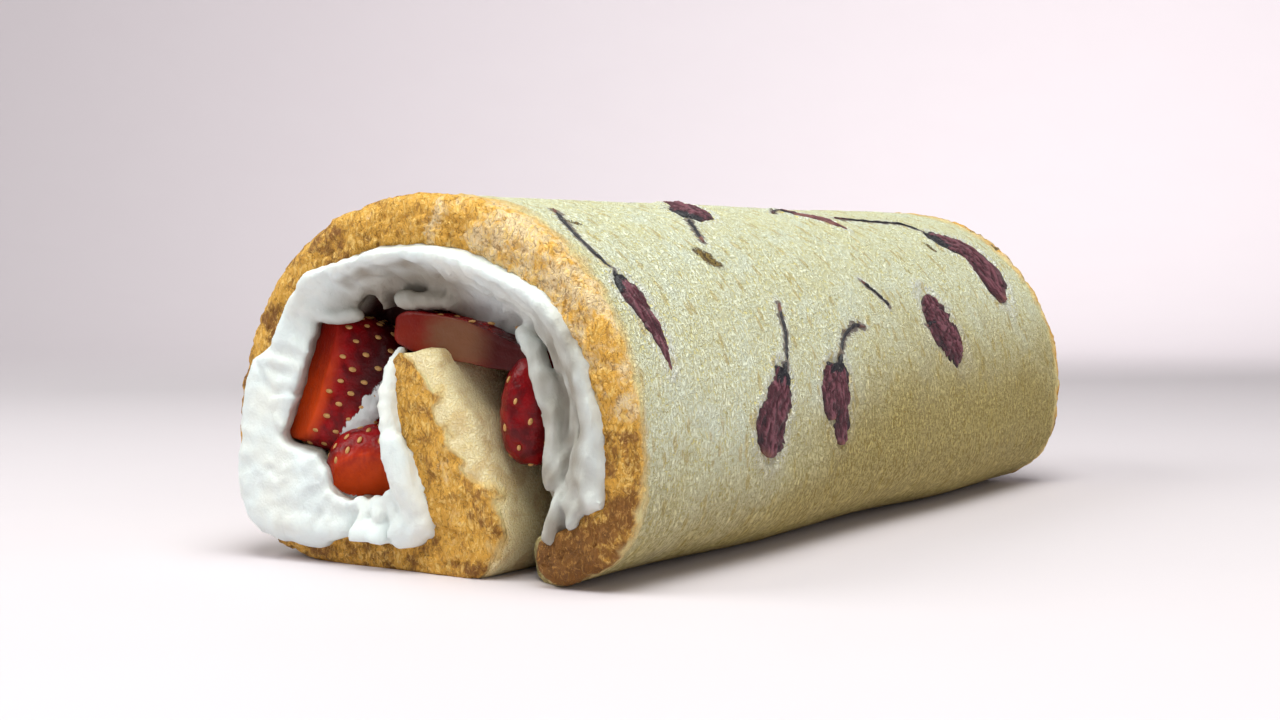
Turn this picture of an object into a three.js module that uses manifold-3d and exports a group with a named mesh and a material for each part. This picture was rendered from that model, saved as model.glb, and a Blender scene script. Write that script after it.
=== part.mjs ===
// A swiss roll cake, open at both ends: one browned sponge sheet rolled round whipped cream and cut strawberries,
// with salted cherry blossoms baked into its pale skin.
//
// Millimetres, +Z up. The roll lies along Y with its show end at -Y. The origin is under its middle, on the plate.
// Sections are drawn in XZ. A depth is measured along Y into the cake, from the end that it belongs to.
import * as THREE from "three";
import { mergeVertices } from "three/addons/utils/BufferGeometryUtils.js";
import Module from "manifold-3d";

const wasm = await Module();
wasm.setup();

// ---------------------------------------------------------------- driving dimensions
const LENGTH = 254; // of the sponge, from end to end
const SHOW_END = -125.3; // Y of the sponge's show end; the cream stands a little further out
const FAR_END = SHOW_END + LENGTH;
const WIDTH = 117; // over the widest level
const HEIGHT = 86.5; // at the show end
const FAR_RISE = 0.026; // the share by which the far end stands higher
const WIDEST = 27; // height of the widest level above the plate
const SHEET = 12; // thickness of the sponge sheet round the outside
const TOP_POWER = 2.1; // superellipse powers of the section above and below its widest level
const BASE_POWER = 3.3;
const LEAN = 1.5; // how far the crown leans to the right
const SINK = 2.5; // how much of the sheet's round underside is pressed flat on the plate
const GAP = 0.3; // clearance between neighbouring pieces

// The sheet's two ends: the foot, outside at the bottom right, and the tongue, curled up inside.
const FOOT_X = 34; // of the foot's middle line
const FOOT_REACH = 7.5; // how much further the foot reaches under the tongue, past the ends
const WALL_END = 267; // degrees round the section, where the tongue starts to turn up
const TONGUE = [new THREE.Vector2(34, 2), new THREE.Vector2(8, 26), new THREE.Vector2(-1, 50.5)];
const TONGUE_BEND = 16.5; // its thickness at the bend
const TONGUE_TIP = 12.5; // and near its tip

const { degToRad, radToDeg, lerp, clamp, smoothstep } = THREE.MathUtils;

// ---------------------------------------------------------------- the section
// A point of the rounded outline that lies `inset` inside the skin, at an angle round the section.
function outline(angle, inset) {
  const c = Math.cos(angle);
  const s = Math.sin(angle);
  const power = 2 / (s >= 0 ? TOP_POWER : BASE_POWER);
  const rise = (s >= 0 ? HEIGHT - WIDEST : WIDEST + SINK) - inset;
  const x = (WIDTH / 2 - inset) * Math.sign(c) * Math.abs(c) ** power;
  const z = WIDEST + rise * Math.sign(s) * Math.abs(s) ** power;
  return new THREE.Vector2(x + LEAN * Math.max(0, (z - WIDEST) / HEIGHT) ** 2, z);
}

// The middle line of the sheet where it is the cake's outside wall.
class Wall extends THREE.Curve {
  constructor(from, to) {
    super();
    this.from = from;
    this.to = to;
    this.arcLengthDivisions = 600;
  }
  getPoint(t) {
    return outline(lerp(this.from, this.to, t), SHEET / 2);
  }
}

// The whole middle line starts at the foot and goes up the right, over the top, down the left and into the tongue.
const footAngle = -Math.acos((FOOT_X / (WIDTH / 2 - SHEET / 2)) ** (BASE_POWER / 2));
const wall = new Wall(footAngle, degToRad(WALL_END));
const tongue = new THREE.CubicBezierCurve(wall.getPoint(1), ...TONGUE);
const wallLength = wall.getLength();
const tongueLength = tongue.getLength();

// The middle line's place at a distance along the sheet, and its normal towards the skin.
function along(distance) {
  const onWall = distance <= wallLength;
  const u = onWall ? distance / wallLength : (distance - wallLength) / tongueLength;
  const curve = onWall ? wall : tongue;
  const at = curve.getPointAt(clamp(u, 0, 1));
  const way = curve.getTangentAt(clamp(u, 0.001, 0.999));
  if (distance < 0) {
    at.addScaledVector(way, distance);
  }
  return { at, way, skin: new THREE.Vector2(way.y, -way.x), onTongue: onWall ? 0 : u };
}

// A slow wave of the skin, in and out.
function skinWave(at, y) {
  const round = Math.atan2(at.y - WIDEST, at.x);
  const slow = 0.5 * Math.sin(3 * round + y / 34) * Math.sin(y / 41 + 0.8);
  return slow + 0.25 * Math.sin(y / 17 + 5 * round);
}

// Every height passes through here: the far end stands higher, and what is lowest is pressed flat.
function settle(z, y) {
  return Math.max(0, z * (1 + FAR_RISE * clamp((y - SHOW_END) / LENGTH, 0, 1)));
}

function endY(end, depth) {
  return end === "show" ? SHOW_END + depth : FAR_END - depth;
}

// How far a face stands back near an edge that is rounded by that radius.
function rounding(fromEdge, radius) {
  const short = clamp(radius - fromEdge, 0, radius);
  return radius - Math.sqrt(radius * radius - short * short);
}

// A repeatable scatter from -1 to 1 for a place in a grid.
function scatter(i, j) {
  const mix = Math.sin(i * 127.1 + j * 311.7) * 43758.5453;
  return 2 * (mix - Math.floor(mix)) - 1;
}

// ---------------------------------------------------------------- solids
const MERGE = 0.001; // corners nearer than this are one corner

function solidOf(geometry) {
  const bare = geometry.clone();
  bare.deleteAttribute("normal");
  bare.deleteAttribute("uv");
  const merged = mergeVertices(bare, MERGE);
  const mesh = new wasm.Mesh({
    numProp: 3,
    vertProperties: new Float32Array(merged.attributes.position.array),
    triVerts: new Uint32Array(merged.index.array),
  });
  return new wasm.Manifold(mesh);
}

function geometryOf(solid) {
  const { vertProperties, triVerts } = solid.getMesh();
  const geometry = new THREE.BufferGeometry();
  geometry.setAttribute("position", new THREE.BufferAttribute(vertProperties, 3));
  geometry.setIndex(new THREE.BufferAttribute(triVerts, 1));
  geometry.computeVertexNormals();
  return geometry;
}

// The main body of a solid, without any scrap that a cut left beside or inside it.
function mainBody(solid) {
  const bodies = solidOf(geometryOf(solid)).decompose();
  return bodies.reduce((most, body) => (body.volume() > most.volume() ? body : most));
}

// Moves each corner of a geometry: `place` takes its coordinates and gives back [x, y, z].
function reshape(geometry, place) {
  const corners = geometry.attributes.position;
  for (let i = 0; i < corners.count; i++) {
    corners.setXYZ(i, ...place(corners.getX(i), corners.getY(i), corners.getZ(i)));
  }
  return geometry;
}

// ---------------------------------------------------------------- sponge
const SKIN_ROUND = 3.5; // rounding of the browned ends towards the skin, and towards the cream
const CREAM_ROUND = 2;
const TIP_ROUND = 4; // rounding of the sheet's foot and tip
const CRAG = 0.5; // depth of the crags on the browned ends
const WALL_STEPS = 38;
const TONGUE_STEPS = 14;
const PLIES = 3; // steps through the sheet
const ROW_DEPTHS = [0, 1.5, 4.5, 12, 50]; // the rows of corners that draw each end
const FAR_FOOT_BACK = 5; // how far the far end stands back at its foot

// How far an end stands in or out along the sheet, as the batter ran against its tin.
function endWave(distance, end) {
  const phase = end === "show" ? 0 : 2.1;
  const back = end === "show" ? 0 : FAR_FOOT_BACK * (1 - smoothstep(distance, 0, 60));
  return back + 0.9 * Math.sin(distance / 31 + phase) + 0.6 * Math.sin(distance / 13 + 1.7 * phase);
}

function sheetThickness(onTongue) {
  const bent = lerp(SHEET, TONGUE_BEND, smoothstep(onTongue, 0, 0.4));
  return lerp(bent, TONGUE_TIP, smoothstep(onTongue, 0.5, 1));
}

// The sponge sheet: a slab bent along its middle line. `grow` makes it larger all round, to cut a neighbour with.
function sheetGeometry(grow = 0) {
  const steps = WALL_STEPS + TONGUE_STEPS;
  const rows = 2 * ROW_DEPTHS.length - 1;
  const slab = new THREE.BoxGeometry(1, 1, 1, steps, rows, PLIES);
  return reshape(slab, (u, v, w) => {
    const step = Math.round((u + 0.5) * steps);
    const row = Math.round((v + 0.5) * rows);
    const ply = Math.round((w + 0.5) * PLIES);
    const end = row < ROW_DEPTHS.length ? "show" : "far";
    const depth = ROW_DEPTHS[Math.min(row, rows - row)];
    const y = endY(end, depth);

    const onWall = step <= WALL_STEPS;
    const wallDistance = step < 2 ? step * TIP_ROUND : ((step - 1) / (WALL_STEPS - 1)) * wallLength;
    const tongueDistance = wallLength + ((step - WALL_STEPS) / TONGUE_STEPS) * tongueLength;
    const distance = onWall ? wallDistance : tongueDistance;
    const reach = step < 2 ? FOOT_REACH * smoothstep(depth, 2, 9) : 0;
    const { at, way, skin, onTongue } = along(distance - reach - (step === 0 ? grow : 0));

    const fromTip = Math.min(distance, wallLength + tongueLength - distance);
    const half = sheetThickness(onTongue) / 2 - 0.8 * rounding(fromTip, TIP_ROUND) + grow;
    const skinSide = half - rounding(depth, SKIN_ROUND) + skinWave(at, y);
    const creamSide = half - rounding(depth, CREAM_ROUND);
    const point = at.clone().addScaledVector(skin, lerp(skinSide, -creamSide, ply / PLIES));
    if (step === steps) {
      point.addScaledVector(way, grow);
    }

    const rough = ply > 0 && ply < PLIES ? CRAG * scatter(step + row, ply) : 0;
    const inward = (endWave(distance, end) + rough) * (1 - smoothstep(depth, 0, 50)) - (depth === 0 ? grow : 0);
    return [point.x, endY(end, depth + inward), settle(point.y, y) - (point.y < grow ? grow : 0)];
  });
}

// ---------------------------------------------------------------- strawberries
// Each piece is a rounded block, `at` [x, depth, z] with half its `size` [across, deep, tall]. `boxy` 2 is an egg
// and 4 a block. `lean` tips its top to the right and `turn` swings its front to the right, in degrees. `cut` is a
// knife's cut: the direction it faces and how far it lies from the piece's middle.
const BERRIES = [
  {
    name: "strawberry_show_half", end: "show", at: [-34.5, 14, 42], size: [14, 10, 16.5], boxy: 3.6, lean: 18,
    turn: 22, cut: { faces: [-0.86, -0.5, 0], keep: 13 },
  },
  {
    name: "strawberry_show_tip", end: "show", at: [-25, 10, 24], size: [10.5, 9, 10], boxy: 2.2, lean: -10,
    turn: 15, cut: { faces: [0.1, -0.85, -0.52], keep: 7 },
  },
  {
    name: "strawberry_show_slice", end: "show", at: [8, 13, 55.5], size: [17.5, 9, 4.6], boxy: 3.6, lean: 12,
    turn: 4, cut: { faces: [0, -1, 0], keep: 8 },
  },
  {
    name: "strawberry_show_side", end: "show", at: [28, 15, 37.5], size: [6.5, 10, 11.5], boxy: 2.3, lean: 6,
    turn: 12, cut: { faces: [-0.6, 0.8, 0], keep: 7 },
  },
  {
    name: "strawberry_far_half", end: "far", at: [-30, 12, 42], size: [12, 9.5, 13.5], boxy: 3, lean: 8,
    turn: -14, cut: { faces: [0.3, -0.95, 0], keep: 8 },
  },
  {
    name: "strawberry_far_tip", end: "far", at: [-23, 9, 21], size: [9, 9.5, 8], boxy: 2.2, lean: 12,
    turn: 8, cut: { faces: [0.2, -0.9, 0.4], keep: 7.5 },
  },
  {
    name: "strawberry_far_slice", end: "far", at: [7, 12, 56], size: [15, 9, 4.4], boxy: 3.2, lean: -9,
    turn: -5, cut: { faces: [0, -1, 0], keep: 8 },
  },
  {
    name: "strawberry_far_side", end: "far", at: [29, 14, 38], size: [6.5, 9, 10], boxy: 2.3, lean: 3,
    turn: -10, cut: { faces: [0, -1, 0], keep: 7.5 },
  },
];
const KNIFE = 60; // a block larger than any piece, whose near face is the cut

function berrySolid({ end, at, size, boxy, lean, turn, cut }, grow = 0) {
  const [x, depth, z] = at;
  const heading = degToRad(turn) + (end === "far" ? Math.PI : 0);
  const y = endY(end, depth);
  const place = (geometry) => geometry.rotateY(degToRad(lean)).rotateZ(heading).translate(x, y, settle(z, y));
  const power = (c) => Math.sign(c) * Math.abs(c) ** (2 / boxy);
  const ball = reshape(new THREE.SphereGeometry(1, 12, 8), (px, py, pz) => {
    const swell = Math.hypot(px, pz);
    const [cx, cz] = swell > 1e-6 ? [px / swell, pz / swell] : [0, 0];
    const ring = power(swell);
    return [power(cx) * ring * (size[0] + grow), power(cz) * ring * (size[1] + grow), -power(py) * (size[2] + grow)];
  });
  const knife = new THREE.BoxGeometry(KNIFE, KNIFE, KNIFE);
  knife.translate(0, 0, KNIFE / 2 + cut.keep + grow);
  const facing = new THREE.Vector3(...cut.faces).normalize();
  knife.applyQuaternion(new THREE.Quaternion().setFromUnitVectors(new THREE.Vector3(0, 0, 1), facing));
  return solidOf(place(ball)).subtract(solidOf(place(knife)));
}

// ---------------------------------------------------------------- cream
// The cream is a core that fills the roll from end to end, drawn as rings round a centre. At each end it spreads
// over the sponge in a lip. Round the section, in degrees: how far inside the skin the lip's edge lies, how far it
// stands out in front of the sponge, and how far inside the skin the core lies behind it.
const CREAM_CENTRE = new THREE.Vector2(2, 39);
const SHOW_LIP = [
  [-57, 9.5, 2, 21], [-45, 7.5, 1.8, 15], [-31, 9, 1.5, 11], [-12, 8, 2.2, 10.5], [14, 8.5, 1.5, 10.5],
  [37, 8, 1.5, 10.5], [54, 9.5, 1.2, 10.5], [70, 12, 1, 10.5], [100, 11.3, 1, 10.5], [120, 9, 1.5, 10.5],
  [135, 6.5, 2.2, 10.5], [152, 6.5, 3, 10.5], [160, 5, 4.4, 10.5], [185, 4.5, 5.2, 10.5], [207, 4.5, 5, 10.5],
  [229, 5.5, 4.5, 11], [247, 6.4, 4.5, 11.5], [255, 9.8, 4, 12.5], [261, 7.2, 4.8, 14], [268, 10.5, 4, 16],
  [276, 24, 1, 24], [300, 24, 1, 24],
];
const FAR_LIP = [
  [-57, 18, 1, 21], [-31, 11, 1, 11], [0, 9, 1.5, 10.5], [40, 10.5, 1.2, 10.5], [75, 9, 1.6, 10.5],
  [110, 11, 1, 10.5], [150, 8, 2, 10.5], [185, 7, 2.6, 10.5], [215, 8.5, 1.8, 10.5], [245, 7, 2.4, 10.5],
  [262, 11, 1.6, 14], [268, 13, 1.5, 16], [276, 24, 1, 24], [300, 24, 1, 24],
];
// Hollows (positive) and swells (negative) of the end's surface: middle [x, z], reach [x, z] and depth.
const SHOW_RELIEF = [
  { name: "dark pocket behind the tongue", at: [21, 37], reach: [17, 22], depth: 24 },
  { name: "dark pocket over the half berry", at: [-17, 57], reach: [10, 9], depth: 15 },
  { name: "bed of the half berry", at: [-23, 46], reach: [20, 18], depth: 8 },
  { name: "bed of the tip", at: [-20, 24], reach: [12, 11], depth: 5 },
  { name: "arch over the slice", at: [6, 61], reach: [28, 8], depth: 5 },
  { name: "spread at the lower left", at: [-43, 20], reach: [17, 17], depth: -2.5 },
  { name: "ridge against the tongue", at: [-3, 24], reach: [6, 22], depth: -4.5 },
  { name: "dollop under the tip", at: [-15, 9], reach: [8, 7], depth: -3 },
];
const FAR_RELIEF = [
  { name: "pocket behind the tongue", at: [22, 38], reach: [15, 18], depth: 11 },
  { name: "bed of the half berry", at: [-28, 43], reach: [18, 18], depth: 4 },
  { name: "bed of the tip", at: [-21, 21], reach: [12, 11], depth: 4 },
  { name: "arch over the slice", at: [6, 61], reach: [24, 9], depth: 5 },
  { name: "ridge against the tongue", at: [-5, 28], reach: [7, 20], depth: -2.5 },
];
const CREAM_AROUND = 44; // corners in a ring
const CREAM_RINGS = 7; // rings across each end
const BED_DEPTH = 3; // how deep the middle of the end lies
const LIP_BACK = 1.2; // how far the lip's edge reaches back into the roll
const CORE_DEPTH = 8; // where the core's own side begins

function lipAt(table, angle) {
  const first = table[0][0];
  const from = first + THREE.MathUtils.euclideanModulo(radToDeg(angle) - first, 360);
  const stops = [...table, [first + 360, ...table[0].slice(1)]];
  const lip = new THREE.LinearInterpolant(stops.map((stop) => stop[0]), stops.flatMap((stop) => stop.slice(1)), 3);
  const [inset, forward, core] = lip.evaluate(from);
  return { inset, forward, core };
}

function creamGeometry() {
  const rings = 2 * CREAM_RINGS + 5;
  const ball = new THREE.SphereGeometry(1, CREAM_AROUND, rings);
  return reshape(ball, (px, py, pz) => {
    const ring = Math.round(((Math.PI - Math.acos(clamp(py, -1, 1))) / Math.PI) * rings);
    const end = 2 * ring < rings ? "show" : "far";
    const place = Math.min(ring, rings - ring); // 0 in the middle of the end
    const angle = Math.atan2(pz, px);
    const { inset, forward, core } = lipAt(end === "show" ? SHOW_LIP : FAR_LIP, angle);
    const edge = outline(angle, place > CREAM_RINGS + 1 ? core : inset);
    const share = Math.min(1, place / CREAM_RINGS);
    const at = CREAM_CENTRE.clone().lerp(edge, share);
    let depth = lerp(BED_DEPTH, -forward, smoothstep(share, 0.6, 0.9)) + rounding(1 - share, 0.1) * 10;
    for (const { at: [x, z], reach, depth: deep } of end === "show" ? SHOW_RELIEF : FAR_RELIEF) {
      depth += deep * (1 - smoothstep(Math.hypot((at.x - x) / reach[0], (at.y - z) / reach[1]), 0.45, 1));
    }
    if (place === CREAM_RINGS + 1) {
      depth = LIP_BACK;
    } else if (place > CREAM_RINGS + 1) {
      depth = CORE_DEPTH;
    }
    const y = endY(end, depth);
    return [at.x, y, settle(at.y, y)];
  });
}

// ---------------------------------------------------------------- blossoms
// Places on the skin are [y, arc]: the depth from the show end, and the distance over the skin from the crown,
// down the right side, or down the left side where it is negative.
const BLOSSOMS = [
  { petals: [{ path: [[14, 48], [15.5, 56], [19, 66]], wide: 7 }], stem: [[22, 21], [16, 30], [13.5, 38], [15, 53]] },
  { petals: [{ path: [[77, 20], [86, 15], [97, 8], [99, 4]], wide: 12 }], stem: [[81, 18], [74, 27], [67, 35], [63, 41]] },
  { petals: [{ path: [[143, 18], [152, 21], [159, 29]], wide: 7 }], stem: [[133, 17], [141, 15], [149, 20]] },
  {
    petals: [{ path: [[207, 35], [222, 36], [226, 45], [221, 59]], wide: 14 }],
    stem: [[166, 20], [186, 22], [202, 25], [212, 36]],
  },
  { petals: [{ path: [[169, 59], [168, 66], [174, 77]], wide: 13 }], stem: [[163, 72], [168, 66]] },
  { petals: [{ path: [[69, 75], [63, 85], [56, 95]], wide: 12 }], stem: [[78.5, 58], [76, 64], [72, 73], [68, 79]] },
  {
    petals: [{ path: [[90, 77], [88, 84], [91, 90]], wide: 9 }, { path: [[98, 77], [96, 86], [98, 95]], wide: 7 }],
    stem: [[118, 66], [111, 65.5], [103, 69], [97, 79]],
  },
  { petals: [], stem: [[131, 52], [134, 56], [139, 61]] },
  { petals: [{ path: [[40, -30], [47, -38], [50, -48]], wide: 12 }], stem: [[30, -16], [38, -22], [41, -33]] },
  { petals: [{ path: [[92, -62], [96, -72], [105, -80]], wide: 13 }], stem: [[86, -44], [92, -54], [93, -64]] },
  { petals: [{ path: [[150, -24], [160, -30], [170, -30]], wide: 11 }], stem: [[136, -34], [144, -28], [153, -26]] },
  {
    petals: [{ path: [[208, -52], [212, -62], [207, -73]], wide: 13 }],
    stem: [[196, -34], [202, -42], [209, -54]],
  },
];
const PETAL = { thick: 2.2, lift: -0.4, sides: 6, steps: 6, blunt: 2.4, ragged: 0.14 };
const STEM = { wide: 1.4, thick: 1.6, lift: -0.3, sides: 4, steps: 5, blunt: 5, ragged: 0 };
// Burst air bubbles in the skin: place and width.
const BUBBLES = [
  { path: [[58, 40], [61, 44]], wide: 6.5 },
  { path: [[20, 28], [21, 31]], wide: 3 },
  { path: [[197, 38], [200, 40]], wide: 3 },
  { path: [[118, -30], [121, -33]], wide: 6 },
];
const BUBBLE = { thick: 4, lift: 0, sides: 8, steps: 5, blunt: 2, ragged: 0 };

const rightSide = new Wall(Math.PI / 2, degToRad(-50));
const leftSide = new Wall(Math.PI / 2, degToRad(230));
const SKIN_STRETCH = WIDTH / (WIDTH - SHEET); // the skin is longer than the middle line that it is measured on

// A point on the skin, or `lift` above it.
function onSkin(depth, arc, lift) {
  const side = arc >= 0 ? rightSide : leftSide;
  const u = Math.abs(arc) / (side.getLength() * SKIN_STRETCH);
  const at = side.getPointAt(u);
  const way = side.getTangentAt(u).multiplyScalar(arc >= 0 ? 1 : -1);
  const y = endY("show", depth);
  const out = SHEET / 2 + skinWave(at, y) + lift;
  return [at.x - way.y * out, y, settle(at.y + way.x * out, y)];
}

// A thin body that lies along a path on the skin, thickest in its middle and drawn out at both ends.
function strip(path, { wide, thick, lift, sides, steps, blunt, ragged }, grow = 0) {
  const line = new THREE.SplineCurve(path.map(([depth, arc]) => new THREE.Vector2(depth, arc)));
  return reshape(new THREE.SphereGeometry(1, sides, steps), (px, py, pz) => {
    const t = 1 - Math.acos(clamp(py, -1, 1)) / Math.PI;
    const at = line.getPointAt(clamp(t, 0, 1));
    const way = line.getTangentAt(clamp(t, 0, 1));
    const swell = Math.max(0, 1 - (2 * t - 1) ** 2) ** (1 / blunt);
    const round = Math.atan2(pz, px);
    const uneven = 1 + ragged * Math.sin(9 * t + 3 * round + path[0][0]);
    const across = Math.cos(round) * swell * ((wide / 2) * uneven + grow);
    const height = lift + Math.sin(round) * swell * (thick / 2 + grow);
    const beyond = grow * (2 * t - 1);
    return onSkin(at.x - across * way.y + beyond * way.x, at.y + across * way.x + beyond * way.y, height);
  });
}

function blossomSolid({ petals, stem }, grow = 0) {
  const bodies = petals.map(({ path, wide }) => strip(path, { ...PETAL, wide }, grow));
  bodies.push(strip(stem, STEM, grow));
  return bodies.map(solidOf).reduce((whole, body) => whole.add(body));
}

// ---------------------------------------------------------------- assembly
const materials = {
  sponge: new THREE.MeshStandardMaterial({ color: 0xf0e2a8, roughness: 0.9, metalness: 0 }),
  cream: new THREE.MeshStandardMaterial({ color: 0xf4f2ec, roughness: 0.55, metalness: 0 }),
  strawberry: new THREE.MeshStandardMaterial({ color: 0xb3120f, roughness: 0.25, metalness: 0 }),
  blossom: new THREE.MeshStandardMaterial({ color: 0x5e2130, roughness: 0.7, metalness: 0 }),
};

const cake = new THREE.Group();

function addPiece(name, solid, material) {
  const piece = new THREE.Mesh(geometryOf(mainBody(solid)), material);
  piece.name = name;
  cake.add(piece);
}

// Each strawberry piece clears the sheet and the pieces before it.
const sheetCutter = solidOf(sheetGeometry(GAP));
let cream = solidOf(creamGeometry()).subtract(sheetCutter);
const berriesSoFar = [];
for (const berry of BERRIES) {
  const body = berriesSoFar.reduce((rest, other) => rest.subtract(other), berrySolid(berry).subtract(sheetCutter));
  addPiece(berry.name, body, materials.strawberry);
  const cutter = berrySolid(berry, GAP);
  berriesSoFar.push(cutter);
  cream = cream.subtract(cutter);
}
addPiece("cream", cream, materials.cream);

let sponge = solidOf(sheetGeometry());
for (const { path, wide } of BUBBLES) {
  sponge = sponge.subtract(solidOf(strip(path, { ...BUBBLE, wide })));
}
BLOSSOMS.forEach((blossom, index) => {
  addPiece(`blossom_${index + 1}`, blossomSolid(blossom), materials.blossom);
  sponge = sponge.subtract(blossomSolid(blossom, GAP));
});
addPiece("sponge", sponge, materials.sponge);

export default cake;
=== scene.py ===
"""A swiss roll cake: a browned sponge sheet rolled round whipped cream and cut strawberries, with salted
cherry blossoms baked into its pale skin.

The frame's solids give each piece its place. Shapes are worked out in millimetres, with the roll lying along
Y and its show end at -Y, and are stored in metres. A depth is measured along Y into the cake, from the end
it belongs to.
"""
import math

import bpy
import numpy as np
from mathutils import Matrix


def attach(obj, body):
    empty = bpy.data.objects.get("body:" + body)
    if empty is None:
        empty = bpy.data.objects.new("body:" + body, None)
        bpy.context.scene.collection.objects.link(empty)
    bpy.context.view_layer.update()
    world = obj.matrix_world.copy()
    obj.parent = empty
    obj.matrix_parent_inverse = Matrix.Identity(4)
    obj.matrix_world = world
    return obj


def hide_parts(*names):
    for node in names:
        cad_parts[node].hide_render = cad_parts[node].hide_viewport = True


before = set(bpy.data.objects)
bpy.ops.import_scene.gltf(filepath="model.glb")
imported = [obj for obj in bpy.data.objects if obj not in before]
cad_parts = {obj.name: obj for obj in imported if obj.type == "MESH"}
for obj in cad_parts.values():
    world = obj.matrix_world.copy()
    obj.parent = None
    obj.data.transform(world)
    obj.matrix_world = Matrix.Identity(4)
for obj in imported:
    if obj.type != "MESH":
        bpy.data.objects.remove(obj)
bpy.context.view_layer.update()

import openvdb
from bpy.props import FloatProperty, FloatVectorProperty, PointerProperty
from mathutils import Vector

bl_info = {
    "name": "Swiss roll cake",
    "version": (1, 0, 0),
    "blender": (4, 5, 0),
    "location": "3D View > Sidebar > Cake",
    "description": "Makes a swiss roll cake with cream, strawberries and salted blossoms",
    "category": "Add Mesh",
}

MM = 0.001  # metres in a millimetre
BODY = "root"

# ---------------------------------------------------------------- the roll's shape, in millimetres
SHOW_END = -125.3  # Y of the sponge's show end
FAR_RISE = 0.026  # the share by which the far end stands higher
WIDEST = 27.0  # height of the widest level
TOP_POWER = 2.1  # superellipse powers of the section above and below its widest level
BASE_POWER = 3.3
LEAN = 1.5  # how far the crown leans to the right
SINK = 2.5  # how much of the sheet's round underside is pressed flat
FOOT_X = 34.0  # of the foot's middle line
FOOT_REACH = 7.5  # how much further the foot reaches under the tongue, past the ends
WALL_END = math.radians(267)  # round the section, where the tongue starts to turn up
TONGUE = ((34, 2), (8, 26), (-1, 50.5))
TONGUE_BEND = 16.5  # its thickness at the bend
TONGUE_TIP = 12.5  # and near its tip
SKIN_ROUND = 3.5  # rounding of the sheet's ends towards the skin, and towards the cream
CREAM_ROUND = 2.0
TIP_ROUND = 4.0  # rounding of the sheet's foot and tip
FAR_FOOT_BACK = 5.0  # how far the far end stands back at its foot
WALL_POINTS, TONGUE_POINTS = 3000, 800  # along the middle line
GAP_EVERY = 12  # gaps to the sheet are measured from every so many of these points


# ---------------------------------------------------------------- numbers
def mix(a, b, share):
    """`a` where the share is 0 and `b` where it is 1."""
    return a + (b - a) * share


def stacked(*parts):
    """Vectors out of their parts, which may be single numbers."""
    return np.stack(np.broadcast_arrays(*parts), axis=-1)


def smooth(value, low, high):
    """0 below `low`, 1 above `high`, with a soft step between."""
    t = np.clip((value - low) / (high - low), 0, 1)
    return t * t * (3 - 2 * t)


def rounding(from_edge, radius):
    """How far a face stands back near an edge that is rounded by that radius."""
    short = np.clip(radius - from_edge, 0, radius)
    return radius - np.sqrt(radius * radius - short * short)


LATTICE_PRIMES = (73856093, 19349663, 83492791)  # large primes that scatter the draws
SEED_PRIME = 2654435761
STIR_PRIMES = (1274126177, 2246822519)
OUT_OF_REACH = 99.0  # farther than any distance that matters, in millimetres


def draws(cell, seed):
    """A repeatable 32-bit draw for each lattice corner, given as whole numbers in its last axis."""
    whole = cell.astype(np.int32).astype(np.uint32)
    n = np.uint32(seed * SEED_PRIME & 0xFFFFFFFF)
    for axis, prime in enumerate(LATTICE_PRIMES):
        n = n ^ whole[..., axis] * np.uint32(prime)
    n = (n ^ (n >> np.uint32(13))) * np.uint32(STIR_PRIMES[0])
    n = (n ^ (n >> np.uint32(16))) * np.uint32(STIR_PRIMES[1])
    return n ^ (n >> np.uint32(13))


def thirds(n):
    """Three numbers from 0 to 1 out of each draw."""
    parts = [(n >> np.uint32(shift)) & np.uint32(1023) for shift in (0, 10, 20)]
    return stacked(*parts) / 1023.0


def noise(places, seed=0):
    """Smooth noise from about -1 to 1, with one bump to a unit."""
    base = np.floor(places)
    inside = places - base
    fade = inside ** 3 * (inside * (inside * 6 - 15) + 10)
    total = np.zeros(places.shape[:-1])
    for corner in np.ndindex(2, 2, 2):
        corner = np.array(corner)
        slope = thirds(draws(base + corner, seed)) * 2 - 1
        weight = np.prod(np.where(corner == 1, fade, 1 - fade), axis=-1)
        total += weight * np.sum(slope * (inside - corner), axis=-1)
    return total * 1.7


def fractal(places, octaves, seed=0):
    """Noise with finer noise laid over it."""
    return sum(noise(places * 2 ** k, seed + k) / 2 ** k for k in range(octaves))


def ridges(places, seed):
    """Noise whose crests are sharp."""
    return 1 - 2 * np.abs(noise(places, seed))


def swirls(places, seed):
    """Three noises, to push places about by."""
    return stacked(*(noise(places, seed + k) for k in range(3)))


def cells(places, seed=0):
    """How far each place lies from the nearest of the points strewn one to a unit cube."""
    base = np.floor(places)
    nearest = np.full(places.shape[:-1], 9.0)
    for offset in np.ndindex(3, 3, 3):
        cell = base + np.array(offset) - 1
        point = cell + thirds(draws(cell, seed))
        nearest = np.minimum(nearest, np.sum((places - point) ** 2, axis=-1))
    return np.sqrt(nearest)


def curve_through(points, count):
    """Points evenly spread along a smooth curve through the given ones."""
    points = np.array(points, float)
    ends = np.vstack([2 * points[0] - points[1], points, 2 * points[-1] - points[-2]])
    t = np.linspace(0, len(points) - 1, 24 * len(points))
    k = np.minimum(t.astype(int), len(points) - 2)
    u = (t - k)[:, None]
    a, b, c, d = (ends[k + i] for i in range(4))
    cubic = (3 * b - a - 3 * c + d) * u ** 3
    fine = 0.5 * (2 * b + (c - a) * u + (2 * a - 5 * b + 4 * c - d) * u ** 2 + cubic)
    run = np.concatenate([[0], np.cumsum(np.linalg.norm(np.diff(fine, axis=0), axis=1))])
    even = np.linspace(0, run[-1], count)
    return np.column_stack([np.interp(even, run, fine[:, axis]) for axis in range(points.shape[1])])


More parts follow.
